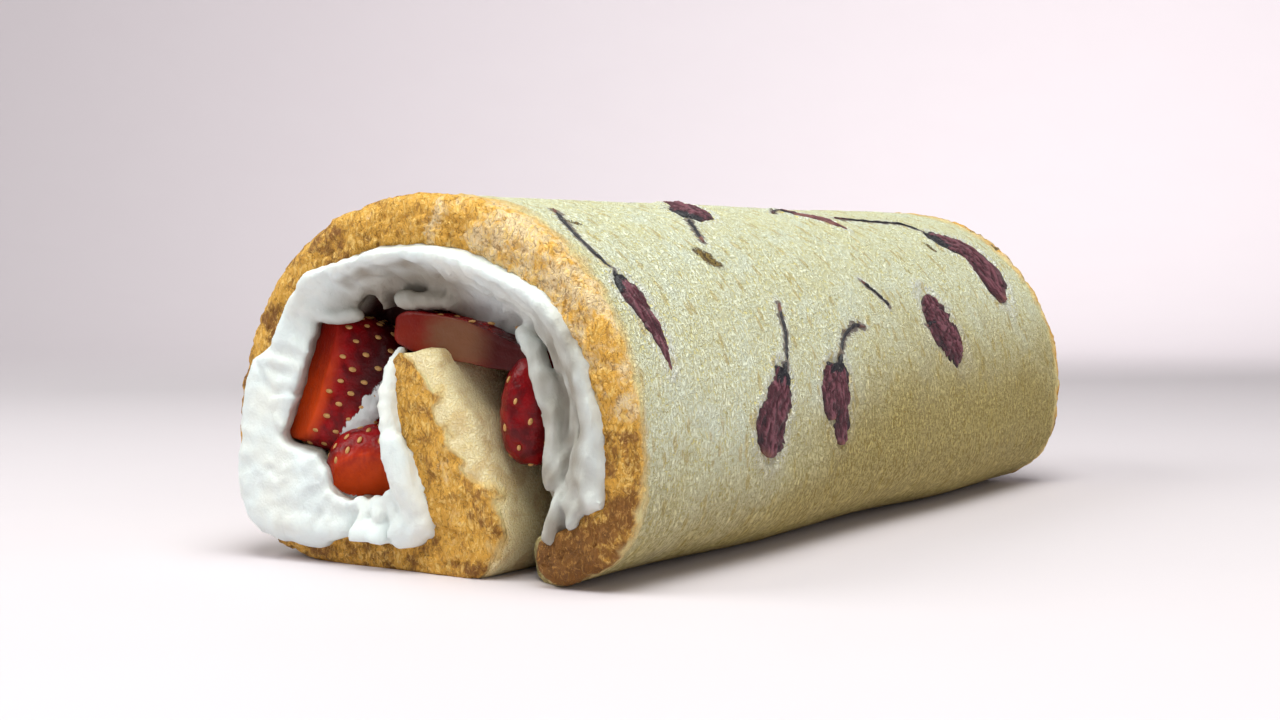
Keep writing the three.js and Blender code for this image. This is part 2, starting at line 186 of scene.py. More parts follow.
def segment_distance(px, pz, a, b):
    """How far places lie from a straight segment, and how far along it the nearest point is, from 0 to 1."""
    ax, az = a[0], a[1]
    bx, bz = b[0] - ax, b[1] - az
    along = np.clip(((px - ax) * bx + (pz - az) * bz) / max(bx * bx + bz * bz, 1e-9), 0, 1)
    return np.hypot(px - ax - along * bx, pz - az - along * bz), along


def line_distance(px, pz, line):
    """How far places lie from a broken line."""
    nearest = np.full(np.shape(px), OUT_OF_REACH)
    for a, b in zip(line[:-1], line[1:]):
        nearest = np.minimum(nearest, segment_distance(px, pz, a, b)[0])
    return nearest


def polygon_distance(px, pz, corners):
    """Signed distance from a closed outline in the plane, less than 0 inside."""
    corners = np.array(corners, float)
    nearest = np.full(np.shape(px), np.inf)
    inside = np.zeros(np.shape(px), bool)
    for a, b in zip(corners, np.roll(corners, -1, axis=0)):
        nearest = np.minimum(nearest, segment_distance(px, pz, a, b)[0])
        if a[1] != b[1]:
            crosses = (a[1] > pz) != (b[1] > pz)
            inside ^= crosses & (px < (b[0] - a[0]) * (pz - a[1]) / (b[1] - a[1]) + a[0])
    return np.where(inside, -nearest, nearest)


# ---------------------------------------------------------------- the sheet's spiral
class Spiral:
    """The middle line of the sponge sheet in the section, from its foot over the top to the tongue's tip."""

    def __init__(self, size):
        self.length = size.length / MM
        self.half_width = size.width / MM / 2
        self.height = size.height / MM
        self.sheet = size.sheet / MM
        foot_share = FOOT_X / (self.half_width - self.sheet / 2)
        foot = -math.acos(foot_share ** (BASE_POWER / 2))
        wall = np.column_stack(self.outline(np.linspace(foot, WALL_END, WALL_POINTS), self.sheet / 2))
        wall_run = np.concatenate([[0], np.cumsum(np.linalg.norm(np.diff(wall, axis=0), axis=1))])
        self.wall_length = wall_run[-1]
        # the tongue is a cubic curve that leaves the wall towards the first of its points
        corners = [wall[-1]] + [np.array(point, float) for point in TONGUE]
        t = np.linspace(0, 1, TONGUE_POINTS)[1:, None]
        parts = [math.comb(3, k) * (1 - t) ** (3 - k) * t ** k * corners[k] for k in range(4)]
        self.line = np.vstack([wall, sum(parts)])
        steps = np.linalg.norm(np.diff(self.line, axis=0), axis=1)
        self.run = np.concatenate([[0], np.cumsum(steps)])
        self.total = self.run[-1]
        way = np.gradient(self.line, self.run, axis=0)
        self.way = way / np.linalg.norm(way, axis=1)[:, None]
        crown = np.column_stack(self.outline(np.array([math.pi / 2]), self.sheet / 2))[0]
        self.crown = self.run[np.argmin(np.sum((wall - crown) ** 2, axis=1))]
        self.skin_share = self.half_width / (self.half_width - self.sheet / 2)

    def outline(self, angle, inset):
        """A point of the rounded outline that lies `inset` inside the skin."""
        c, s = np.cos(angle), np.sin(angle)
        power = 2 / np.where(s >= 0, TOP_POWER, BASE_POWER)
        rise = np.where(s >= 0, self.height - WIDEST, WIDEST + SINK) - inset
        x = (self.half_width - inset) * np.sign(c) * np.abs(c) ** power
        z = WIDEST + rise * np.sign(s) * np.abs(s) ** power
        return x + LEAN * np.maximum(0, (z - WIDEST) / self.height) ** 2, z

    def along(self, distance):
        """Places on the middle line, the way it runs there, and how far up the tongue they are."""
        place, way = (stacked(*(np.interp(distance, self.run, each[:, axis]) for axis in (0, 1)))
                      for each in (self.line, self.way))
        place = place + way * np.minimum(distance, 0)[..., None]
        return place, way, self.up_tongue(distance)

    def skin_wave(self, place, y):
        """A slow wave of the skin, in and out."""
        turn = np.arctan2(place[..., 1] - WIDEST, place[..., 0])
        slow = 0.5 * np.sin(3 * turn + y / 34) * np.sin(y / 41 + 0.8)
        return slow + 0.25 * np.sin(y / 17 + 5 * turn)

    def settle(self, z, y):
        """The far end stands higher, and what is lowest is pressed flat."""
        return np.maximum(0, z * (1 + FAR_RISE * np.clip((y - SHOW_END) / self.length, 0, 1)))

    def end_wave(self, distance, far):
        """How far an end stands back along the sheet."""
        phase = np.where(far, 2.1, 0.0)
        back = np.where(far, FAR_FOOT_BACK * (1 - smooth(distance, 0, 60)), 0)
        return back + 0.9 * np.sin(distance / 31 + phase) + 0.6 * np.sin(distance / 13 + 1.7 * phase)

    def up_tongue(self, distance):
        """How far up the tongue places are, from 0 to 1."""
        return np.clip((distance - self.wall_length) / (self.total - self.wall_length), 0, 1)

    def thickness(self, on_tongue):
        """How thick the sheet is, from its wall to the tongue's tip."""
        bent = mix(self.sheet, TONGUE_BEND, smooth(on_tongue, 0, 0.4))
        return mix(bent, TONGUE_TIP, smooth(on_tongue, 0.5, 1))

    def sheet_point(self, distance, from_show, ply):
        """A point of the sheet. `from_show` runs end to end, and `ply` from 0 at the skin to 1 inside."""
        far = from_show > self.length / 2
        depth = np.minimum(from_show, self.length - from_show)
        flat_y = SHOW_END + from_show
        tucked = FOOT_REACH * smooth(depth, 2, 9) * (1 - smooth(distance, TIP_ROUND, 20))
        place, way, on_tongue = self.along(distance - tucked)
        from_tip = np.minimum(distance, self.total - distance)
        half = self.thickness(on_tongue) / 2 - 0.8 * rounding(from_tip, TIP_ROUND)
        skin_side = half - rounding(depth, SKIN_ROUND) + self.skin_wave(place, flat_y)
        cream_side = half - rounding(depth, CREAM_ROUND)
        out = mix(skin_side, -cream_side, ply)
        inward = self.end_wave(distance, far) * (1 - smooth(depth, 0, 50))
        x = place[..., 0] + way[..., 1] * out
        z = place[..., 1] - way[..., 0] * out
        y = flat_y + np.where(far, -inward, inward)
        return stacked(x, y, self.settle(z, flat_y))

    def on_skin(self, depth, arc, lift):
        """A point over the skin, at a depth from the show end and an arc to the right of the crown."""
        distance = self.crown - arc / self.skin_share
        place, way, _ = self.along(distance)
        y = SHOW_END + depth
        out = self.sheet / 2 + self.skin_wave(place, y) + lift
        z = place[..., 1] - way[..., 0] * out
        return stacked(place[..., 0] + way[..., 1] * out, y, self.settle(z, y))

    def sheet_gap(self, x, z):
        """How far section places lie outside the sheet, and the distance along it of its nearest point."""
        line, run = self.line[::GAP_EVERY], self.run[::GAP_EVERY]
        half = self.thickness(self.up_tongue(run)) / 2
        nearest = np.full(x.shape, np.inf)
        where = np.zeros(x.shape)
        for k in range(len(line) - 1):
            far, share = segment_distance(x, z, line[k], line[k + 1])
            gap = far - mix(half[k], half[k + 1], share)
            closer = gap < nearest
            nearest = np.where(closer, gap, nearest)
            where = np.where(closer, mix(run[k], run[k + 1], share), where)
        for end, way in ((self.line[-1], self.way[-1]), (self.line[0], -self.way[0])):
            past = (x - end[0]) * way[0] + (z - end[1]) * way[1]
            near = np.hypot(x - end[0], z - end[1]) < 3 * TIP_ROUND
            nearest = np.where(near & (past > 0), np.maximum(nearest, past), nearest)
        return nearest, where


# ---------------------------------------------------------------- meshes
def make_piece(name, points, faces, materials, nodes, masks, places=None, second=None):
    """Makes a piece from points in millimetres. It stands for `nodes` and takes its finish from `materials`.

    `masks` are numbers at each point, `places` a vector at each point, and `second` says which faces have
    the second material.
    """
    mesh = bpy.data.meshes.new(name)
    mesh.from_pydata(np.asarray(points) * MM, [], faces)
    mesh.shade_smooth()
    for mask, values in masks.items():
        layer = mesh.attributes.new(mask, "FLOAT", "POINT")
        layer.data.foreach_set("value", np.asarray(values, np.float32))
    if places is not None:
        layer = mesh.attributes.new("place", "FLOAT_VECTOR", "POINT")
        layer.data.foreach_set("vector", np.asarray(places, np.float32).ravel())
    for material in materials:
        mesh.materials.append(material)
    if second is not None:
        mesh.polygons.foreach_set("material_index", np.asarray(second, np.int32))
    if mesh.validate():
        raise RuntimeError(name + " had faces that Blender had to mend")
    piece = bpy.data.objects.new(name, mesh)
    bpy.context.scene.collection.objects.link(piece)
    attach(piece, BODY)
    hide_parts(*nodes)


def face_normals(points, faces):
    """A vector across each face, as long as twice its area."""
    corners = points[faces]
    if faces.shape[1] == 4:
        return np.cross(corners[:, 2] - corners[:, 0], corners[:, 3] - corners[:, 1])
    return np.cross(corners[:, 1] - corners[:, 0], corners[:, 2] - corners[:, 0])


def point_normals(points, groups):
    """The outward direction at each point of a mesh whose faces come in groups of equal corner counts."""
    total = np.zeros_like(points)
    for faces in groups:
        across = face_normals(points, faces)
        for corner in range(faces.shape[1]):
            for axis in range(3):
                total[:, axis] += np.bincount(faces[:, corner], across[:, axis], len(points))
    return total / np.maximum(np.linalg.norm(total, axis=1), 1e-12)[:, None]


def faces_outward(points, groups):
    """The face groups, turned round if they enclose less than nothing."""
    volume = sum(np.sum(points[faces[:, 0]] * face_normals(points, faces)) for faces in groups)
    return groups if volume > 0 else [faces[:, ::-1] for faces in groups]


def grid_faces(ids, flip=False):
    """Four-cornered faces between the neighbours of a grid of corner numbers."""
    faces = stacked(ids[:-1, :-1], ids[1:, :-1], ids[1:, 1:], ids[:-1, 1:]).reshape(-1, 4)
    return faces[:, ::-1] if flip else faces


def ways_of(tilt, turn):
    """Directions from their tilt off the upright and their turn round it."""
    return stacked(np.sin(tilt) * np.cos(turn), np.sin(tilt) * np.sin(turn), np.cos(tilt))


def ball_grid(around, up):
    """Directions spread over a ball, and its faces, as four-cornered and three-cornered groups."""
    turn = np.linspace(0, 2 * math.pi, around, endpoint=False)
    tilt = np.linspace(0, math.pi, up + 1)[1:-1]
    tilt, turn = np.meshgrid(tilt, turn, indexing="ij")
    ring = ways_of(tilt, turn)
    points = np.vstack([ring.reshape(-1, 3), [[0, 0, 1], [0, 0, -1]]])
    ids = np.arange(len(points) - 2).reshape(up - 1, around)
    looped = np.hstack([ids, ids[:, :1]])
    top, bottom = len(points) - 2, len(points) - 1
    caps = [[top, a, b] for a, b in zip(looped[0, :-1], looped[0, 1:])]
    caps += [[bottom, b, a] for a, b in zip(looped[-1, :-1], looped[-1, 1:])]
    return points, [grid_faces(looped), np.array(caps)]


# ---------------------------------------------------------------- shader maths
MIX_SHARE, MIX_A, MIX_B, MIX_RESULT = 0, 6, 7, 2  # the sockets of a Mix node for colours


class Value:
    """A number, colour or vector on its way through a material. Sums written with it add Math nodes."""

    def __init__(self, paint, socket):
        self.paint = paint
        self.socket = socket

    def math(self, operation, a, b):
        """One sum on two values, at least one of them in the material."""
        return self.paint.node("ShaderNodeMath", {"operation": operation}, {0: a, 1: b})

    def __add__(self, other):
        return self.math("ADD", self, other)

    def __sub__(self, other):
        return self.math("SUBTRACT", self, other)

    def __mul__(self, other):
        return self.math("MULTIPLY", self, other)

    def __rsub__(self, other):
        return self.math("SUBTRACT", other, self)

    __radd__ = __add__
    __rmul__ = __mul__

    def step(self, low, high):
        """0 below `low`, 1 above `high`, with a soft step between. `low` may be the larger one."""
        turned = low > high
        settings = {"interpolation_type": "SMOOTHSTEP"}
        inputs = {"Value": self, "From Min": min(low, high), "From Max": max(low, high)}
        inputs.update({"To Min": float(turned), "To Max": float(not turned)})
        return self.paint.node("ShaderNodeMapRange", settings, inputs)


def opaque(colour):
    """A plain colour with its alpha, or a colour on its way through the material as it is."""
    return colour if isinstance(colour, Value) else (*colour, 1.0)


class Paint:
    """A node material while it is being made."""

    def __init__(self, name):
        self.material = bpy.data.materials.new(name)
        self.material.use_nodes = True
        self.tree = self.material.node_tree
        self.tree.nodes.clear()

    def node(self, kind, settings=None, inputs=None, output=0):
        """Adds a node: its settings are set first, then the values or links of its sockets."""
        node = self.tree.nodes.new(kind)
        for name, value in (settings or {}).items():
            setattr(node, name, value)
        for name, value in (inputs or {}).items():
            if isinstance(value, Value):
                self.tree.links.new(value.socket, node.inputs[name])
            else:
                node.inputs[name].default_value = value
        return Value(self, node.outputs[output]) if node.outputs else None

    def mask(self, name):
        """A number that the mesh holds at each point."""
        return self.node("ShaderNodeAttribute", {"attribute_name": name}, output="Fac")

    def vectors(self, operation, a, b):
        """Vector maths on two places."""
        return self.node("ShaderNodeVectorMath", {"operation": operation}, {0: a, 1: b})

    def place(self, scale=(1, 1, 1)):
        """The place along the sheet, across it and through it, in millimetres, scaled by axis."""
        found = self.node("ShaderNodeAttribute", {"attribute_name": "place"}, output="Vector")
        return self.vectors("MULTIPLY", found, scale)

    def spot(self, scale=(1, 1, 1)):
        """The place in the cake, in millimetres, scaled by axis."""
        found = self.node("ShaderNodeTexCoord", output="Object")
        return self.vectors("MULTIPLY", found, tuple(value / MM for value in scale))

    def noise(self, where, size, detail=2.0, rough=0.5, warp=0.0):
        """Noise from 0 to 1 whose bumps are about `size` millimetres."""
        inputs = {"Vector": where, "Scale": 1 / size, "Detail": detail}
        inputs.update({"Roughness": rough, "Distortion": warp})
        return self.node("ShaderNodeTexNoise", {}, inputs)

    def cells(self, where, size, output="Distance"):
        """Distance to the nearest of points strewn `size` millimetres apart, or its own random colour."""
        inputs = {"Vector": where, "Scale": 1 / size}
        return self.node("ShaderNodeTexVoronoi", {"feature": "F1"}, inputs, output)

    def stirred(self, where, size, amount):
        """The places moved about, by up to `amount` millimetres, in swirls of that size."""
        inputs = {"Vector": where, "Scale": 1 / size, "Detail": 2.0}
        push = self.node("ShaderNodeTexNoise", {}, inputs, "Color")
        push = self.vectors("SUBTRACT", push, (0.5, 0.5, 0.5))
        push = self.node("ShaderNodeVectorMath", {"operation": "SCALE"}, {0: push, "Scale": 2 * amount})
        return self.vectors("ADD", where, push)

    def blend(self, share, a, b):
        """Colour `a` where the share is 0 and `b` where it is 1."""
        inputs = {MIX_SHARE: share, MIX_A: opaque(a), MIX_B: opaque(b)}
        return self.node("ShaderNodeMix", {"data_type": "RGBA"}, inputs, MIX_RESULT)

    def bump(self, height, distance):
        """A bump whose height of 1 stands out by `distance` millimetres."""
        inputs = {"Height": height, "Distance": distance * MM, "Strength": 1.0}
        return self.node("ShaderNodeBump", {}, inputs)

    def finish(self, **inputs):
        """Ends the material in one Principled shader. Names of sockets have _ for a space."""
        named = {name.replace("_", " "): value for name, value in inputs.items()}
        surface = self.node("ShaderNodeBsdfPrincipled", {}, named)
        self.node("ShaderNodeOutputMaterial", {}, {"Surface": surface})
        return self.material


# ---------------------------------------------------------------- blossoms
# Each blossom lies on the skin, drawn through places (depth from the show end, arc right of the crown).
# `petals`, and `more` where it has a second bunch, are the places along them, their greatest width, and how
# much they narrow towards the end. `stem` runs into them. `dull` is how faded they are, and `blot` how dark
# where the stem starts.
BLOSSOMS = (
    {"petals": (((14.2, 49), (15.8, 53.5), (16.8, 60), (17.8, 66), (18.3, 73)), 8.4, 0.75),
     "stem": ((22.5, 21.5), (16.4, 30.4), (13.5, 38.1), (14.4, 49.5))},
    {"petals": (((76, 24), (83, 20.5), (91, 16), (97, 8), (100, 3)), 11, 0.2),
     "stem": ((65.5, 37.5), (68, 33.5), (71, 30), (74, 26.5), (79, 23))},
    {"petals": (((141, 15), (147, 18.5), (153, 23), (157, 29.6)), 6.4, 0.3), "dull": 0.8,
     "stem": ((133, 17.4), (138, 15), (144, 13.6), (149, 16))},
    {"petals": (((207, 35), (216, 36.5), (224, 40), (225, 47), (221.5, 54), (222.5, 61)), 14.5, -0.2),
     "stem": ((166, 20), (176, 21.4), (190, 22.6), (204, 23.6), (208.6, 29), (210, 36))},
    {"petals": (((165.5, 57.5), (167.5, 63), (169, 68), (172.5, 72), (177, 75)), 16, 0.0), "blot": 0.0,
     "stem": ((157, 67), (161, 66), (166, 66))},
    {"petals": (((69.5, 75), (66, 79.5), (62, 85), (58.5, 90), (56.5, 95.5)), 10, -0.45),
     "stem": ((78.5, 58), (76.5, 62.5), (75, 67), (72, 72), (69, 77))},
    {"petals": (((96, 75.5), (93, 79), (90.4, 83.5), (91, 89)), 8.6, 0.2),
     "more": (((98, 74.5), (97.4, 81), (96.8, 88), (96.2, 96)), 10, 0.25),
     "stem": ((118, 66), (112.5, 65.4), (105, 68), (101, 72), (97, 79))},
    {"stem": ((131, 52), (133.4, 54.5), (135.4, 56.4), (138.5, 60))},
    {"petals": (((40, -30), (44, -34), (47, -40), (50, -48)), 11.5, 0.2),
     "stem": ((30, -16), (34, -19), (38, -23), (41, -33))},
    {"petals": (((92, -62), (95, -67), (98, -73), (105, -80)), 12.5, -0.2),
     "stem": ((86, -44), (90, -49), (92, -55), (93, -64))},
    {"petals": (((150, -24), (155, -28), (161, -30), (170, -30)), 11, 0.4),
     "stem": ((136, -34), (141, -29), (147, -27.5), (153, -26))},
    {"petals": (((208, -52), (211, -57), (211.5, -64), (207, -73)), 12.5, 0.0),
     "stem": ((196, -34), (200, -38), (204, -45), (209, -54))},
)
STEM_WIDE = 1.5
# Blisters and pits of the skin: depth, arc, half length, half width, heading in degrees
BLISTERS = (
    (60.5, 43.6, 4.6, 3.0, 52), (20.5, 29.2, 1.7, 1.2, 20), (198.5, 38.6, 2.4, 1.5, 40),
    (76, 18, 2.2, 0.8, 30), (249.5, 38, 2.0, 1.3, 10), (251, 29.5, 2.2, 1.1, 40),
    (119, -31, 3.4, 2.5, 30), (188, -22, 2.0, 1.2, -30),
)
PETAL_STEPS = (64, 22)  # along a petal and across it
STEM_STEPS = (44, 8)
PETAL_UNDER = -0.9  # how deep the undersides lie in the skin
STEM_UNDER = -0.8


def petal_width(u, side, width, taper, seed):
    """How far a petal reaches to one side (1 or -1) along its length: blunt at both ends, and ragged."""
    blunt = np.maximum(0, 1 - np.abs(2 * u - 1) ** 3.6) ** (1 / 2.4)
    swell = blunt * (1 - taper * smooth(u, 0.2, 1.0))
    ragged = noise(stacked(u * 6, 3.7 * side + seed, 0), seed)
    torn = noise(stacked(u * 19, 5.3 * side + seed, 7), seed)
    return width / 2 * swell * (1 + 0.36 * ragged + 0.24 * torn)


def petals_of(blossom):
    """The one or two bunches of petals of a blossom."""
    return [blossom[part] for part in ("petals", "more") if part in blossom]


def near_blossoms(depth, arc):
    """How far skin places lie outside the nearest petal, and from the nearest stem."""
    petal = np.full(depth.shape, OUT_OF_REACH)
    stem = np.full(depth.shape, OUT_OF_REACH)
    for index, blossom in enumerate(BLOSSOMS):
        for more, (points, width, taper) in enumerate(petals_of(blossom)):
            line = curve_through(points, 14)
            for k in range(len(line) - 1):
                far, share = segment_distance(depth, arc, line[k], line[k + 1])
                way = line[k + 1] - line[k]
                side = np.sign(way[0] * (arc - line[k][1]) - way[1] * (depth - line[k][0]))
                u = np.clip((k + share) / (len(line) - 1), 0, 1)
                petal = np.minimum(petal, far - petal_width(u, side, width, taper, index + 31 * more))
        line = curve_through(blossom["stem"], 12)
        stem = np.minimum(stem, line_distance(depth, arc, line) - STEM_WIDE / 2)
    return petal, stem


def blister_masks(depth, arc):
    """1 in the middle of each blister of the skin, and 0 outside it."""
    mask = np.zeros(depth.shape)
    for at, side, long, wide, heading in BLISTERS:
        c, s = math.cos(math.radians(heading)), math.sin(math.radians(heading))
        u, v = depth - at, arc - side
        away = np.hypot((u * c + v * s) / long, (v * c - u * s) / wide)
        away = away + 0.3 * noise(stacked(u / 1.7, v / 1.7, at), 33)
        mask = np.maximum(mask, 1 - smooth(away, 0.55, 1.15))
    return mask


def beside(line, side):
    """Depths and arcs of places that lie `side` to the side of a line on the skin."""
    way = np.gradient(line, axis=0)
    way /= np.linalg.norm(way, axis=1)[:, None]
    return line[:, None, 0] - way[:, None, 1] * side, line[:, None, 1] + way[:, None, 0] * side


def petal_mesh(spiral, points, width, taper, blossom, seed):
    """A wrinkled petal on the skin, closed underneath."""
    steps, across = PETAL_STEPS
    line = curve_through(points, steps + 1)
    u, v = np.meshgrid(np.linspace(0, 1, steps + 1), np.linspace(-1, 1, across + 1), indexing="ij")
    half = np.maximum(petal_width(u, np.sign(v), width, taper, seed), 0.12)
    side = v * half
    ragged = 0.3 * noise(stacked(u * 22, v * 2, seed), seed + 5)
    side = side + ragged * np.abs(v) ** 3 * np.minimum(1, half / 2)
    depth, arc = beside(line, side)
    reach = u * width * 2.2
    spot = stacked(reach * 0.24, side * 0.75, seed)
    swirl = 0.7 * noise(spot * 0.8, seed + 9)
    folds = noise(spot + swirl[..., None], seed + 11)
    creases = ridges(stacked(reach * 0.34, side * 1.5 + swirl, 0), seed + 17)
    body = (1 - np.abs(v) ** 4) * np.minimum(1, half / 1.5)
    lift = 0.05 + body * (0.34 + 0.50 * folds + 0.34 * creases)
    top = spiral.on_skin(depth, arc, np.maximum(lift, -0.05))
    under = spiral.on_skin(depth, arc, PETAL_UNDER)
    masks = {
        "dark": smooth(u + 0.16 * folds, 0.24, 0.05) * blossom.get("blot", 1.0),
        "fold": np.clip(0.42 + 0.55 * folds + 0.50 * creases - 0.35 * np.abs(v) ** 3, 0, 1),
        "ripe": np.maximum(smooth(u, 0.90, 1.0), blossom.get("dull", 0)),
    }
    return shell_of(top, under, masks)


def stem_mesh(spiral, points, seed):
    """A thin dried stem that lies on the skin and sinks in here and there."""
    steps, across = STEM_STEPS
    u = np.linspace(0, 1, steps + 1)
    line = curve_through(points, steps + 1)
    line = line + 0.35 * stacked(*(noise(stacked(u * 9, 0, seed), seed + k) for k in (3, 4)))
    thick = noise(stacked(u * 12, seed, 0), seed + 7)
    half = STEM_WIDE / 2 * (0.62 + 0.3 * thick) * (0.35 + 0.65 * smooth(u, 0, 0.12))
    v = np.broadcast_to(np.linspace(-1, 1, across + 1), (steps + 1, across + 1))
    depth, arc = beside(line, v * half[:, None])
    lift = np.sqrt(np.maximum(0, 1 - v ** 2)) * (0.55 + 0.25 * thick[:, None]) - 0.05
    top = spiral.on_skin(depth, arc, lift)
    under = spiral.on_skin(depth, arc, STEM_UNDER)
    flat = np.ones(depth.shape)
    tip = smooth(u, 0.2, 0.06)[:, None] * flat
    return shell_of(top, under, {"dark": 1 - 0.8 * tip, "fold": 0.4 * flat, "ripe": tip})


def shell_of(top, under, masks):
    """A closed mesh between two grids of points, with its masks."""
    rows, columns = top.shape[:2]
    ids = np.arange(rows * columns).reshape(rows, columns)
    below = ids + rows * columns
    loop = np.concatenate([ids[:-1, 0], ids[-1, :-1], ids[:0:-1, -1], ids[0, :0:-1]])
    along, on = loop, np.roll(loop, -1)
    rim = stacked(along, on, on + rows * columns, along + rows * columns)
    faces = np.vstack([grid_faces(ids), grid_faces(below, flip=True), rim[:, ::-1]])
    points = np.vstack([top.reshape(-1, 3), under.reshape(-1, 3)])
    faces = faces_outward(points, [faces])[0]
    doubled = {name: np.concatenate([values.ravel(), values.ravel()]) for name, values in masks.items()}
    return points, faces, doubled


def join_meshes(parts):
    """One mesh out of several, with their masks."""
    points, faces, masks, start = [], [], {}, 0
    for part_points, part_faces, part_masks in parts:
        points.append(part_points)
        faces.append(part_faces + start)
        start += len(part_points)
        for name, values in part_masks.items():
            masks.setdefault(name, []).append(values)
    masks = {name: np.concatenate(values) for name, values in masks.items()}
    return np.vstack(points), np.vstack(faces), masks


FADED_PETAL = (0.27, 0.11, 0.075)
SALT = (0.62, 0.60, 0.56)


def blossom_paint(looks):
    """Wrinkled dried petals, wine-dark, painted highlight on the folds and painted shade in the creases, a
    little dried salt; stems near black.
    """
    paint = Paint("blossom")
    where = paint.spot()
    dark = paint.mask("dark")
    ripe = paint.mask("ripe")
    fold = paint.mask("fold")
    veins = paint.noise(paint.stirred(where, 2.0, 0.8), 0.8, 3, 0.6)
    mottle = paint.noise(where, 2.6, 3)
    # Painted light: the raised folds, which the fold mask follows, get a painted highlight and the creases
    # painted shade
    light = fold * 0.85 + veins * 0.35
    petal = paint.blend(light.step(0.30, 0.62), looks.deep, looks.petal)
    petal = paint.blend(light.step(0.66, 1.0), petal, looks.fold_highlight)
    petal = paint.blend(ripe * mottle.step(0.3, 0.6) * 0.6, petal, FADED_PETAL)
    colour = paint.blend((dark + (mottle - 0.5) * 0.7).step(0.40, 0.65), petal, looks.stem)
    salt = paint.noise(where, 0.6, 2).step(0.66, 0.74) * (0.15 + dark * 0.5)
    colour = paint.blend(salt, colour, SALT)
    height = veins * 0.6 + paint.noise(where, 0.5, 3) * 0.4
    rough = 0.36 + veins * 0.25
    return paint.finish(Base_Color=colour, Roughness=rough, Normal=paint.bump(height, 0.5))


def make_blossoms(spiral, looks):
    """The blossoms, a piece for each: petals in folds, and a stem."""
    material = blossom_paint(looks)
    for index, blossom in enumerate(BLOSSOMS):
        parts = [petal_mesh(spiral, *petal, blossom, index + 31 * more)
                 for more, petal in enumerate(petals_of(blossom))]
        parts.append(stem_mesh(spiral, blossom["stem"], index))
        points, faces, masks = join_meshes(parts)
        name = "blossom_%d" % (index + 1)
        make_piece(name, points, faces.tolist(), [material], [name], masks)


# ---------------------------------------------------------------- sponge
SKIN_STEP = 1.0  # spacing of the points round the skin
ROW_FIRST, ROW_GROW, ROW_LAST = 0.5, 0.07, 1.3  # spacing of the rows of points, from the ends inwards
NEAR = 22.0  # depth of the fine rows where the sheet lies in the cream
FINE_DEPTH = 40.0  # depth of the rows that lie closer than the others
PLIES = 16  # steps through the sheet at its ends
TONGUE_DEGREES = 275  # stands for the tongue in tables by degrees round the section
# How brown the end is baked round the section: degrees, share
BAKE = (
    (-60, 1.6), (-38, 1.5), (-22, 1.05), (-8, 0.72), (6, 0.46), (20, 0.22), (40, 0.05), (62, 0.02),
    (76, 0.18), (88, 0.36), (102, 0.48), (118, 0.64), (150, 0.72), (185, 0.55), (215, 0.6), (245, 0.9),
    (262, 0.9), (275, 0.5),
)
# How far it is browned across the tongue's end, from the cream: millimetres down from its tip, millimetres
TONGUE_BROWN = (
    (0, 5), (3, 9), (7, 11.5), (12, 12), (17, 12), (23, 13), (30, 15.5), (36, 17.5), (60, 18.5), (80, 16),
)
# How much thicker the tongue's end is towards the cream: height, millimetres
TONGUE_SWELL = (
    (9, 0), (10, 1), (12, 4), (13, 5.6), (18, 6), (23, 5.8), (27, 6.3), (32, 6.8), (37, 6), (41.5, 4.6),
    (46.5, 3.2), (50, 2.4), (54, 2.2),
)
SWELL_DEPTH = 12.0  # and how deep that reaches
SWELL_START = 8.0  # and how far past the bend it starts
# How far the browning runs over the skin from the ends: degrees, millimetres
HALO = (
    (-60, 5), (-30, 7), (0, 7), (40, 9), (60, 13), (75, 20), (90, 19), (110, 11), (135, 8), (200, 6),
    (270, 5),
)


class Net:
    """Gathers patches of the sheet's surface, whose points are known by (distance, from show, ply)."""

    def __init__(self):
        self.keys = []
        self.fours = []
        self.threes = []
        self.count = 0

    def add(self, distance, from_show, ply):
        """Adds a grid of points and gives their numbers."""
        key = stacked(distance, from_show, ply)
        ids = self.count + np.arange(key.size // 3).reshape(key.shape[:-1])
        self.keys.append(key.reshape(-1, 3))
        self.count += ids.size
        return ids

    def patch(self, distance, from_show, ply, flip=False):
        """Adds a grid of points with its faces."""
        self.fours.append(grid_faces(self.add(distance, from_show, ply), flip))

    def fan_strip(self, fine, coarse, near, flip=False):
        """Joins a column of many points to one that has only the `near` rows at each end."""
        def turned(face):
            """The face, the other way round where the patch is flipped."""
            return face[::-1] if flip else face
        for j in list(range(near - 1)) + list(range(near, 2 * near - 1)):
            shift = len(fine) - 2 * near if j >= near else 0
            face = [fine[j + shift], coarse[j], coarse[j + 1], fine[j + 1 + shift]]
            self.fours.append(np.array([turned(face)]))
        gap = fine[near - 1:len(fine) - near + 1]
        middle = len(gap) // 2
        a, b = coarse[near - 1], coarse[near]
        for j in range(len(gap) - 1):
            self.threes.append(turned([gap[j], a if j < middle else b, gap[j + 1]]))
        self.threes.append(turned([gap[middle], a, b]))

    def welded(self):
        """The keys of the points and the faces, with points that share a key made one."""
        keys = np.vstack(self.keys)
        _, first, where = np.unique(np.round(keys, 4), axis=0, return_index=True, return_inverse=True)
        where = where.ravel()
        return keys[first], [where[np.vstack(self.fours)], where[np.array(self.threes)]]


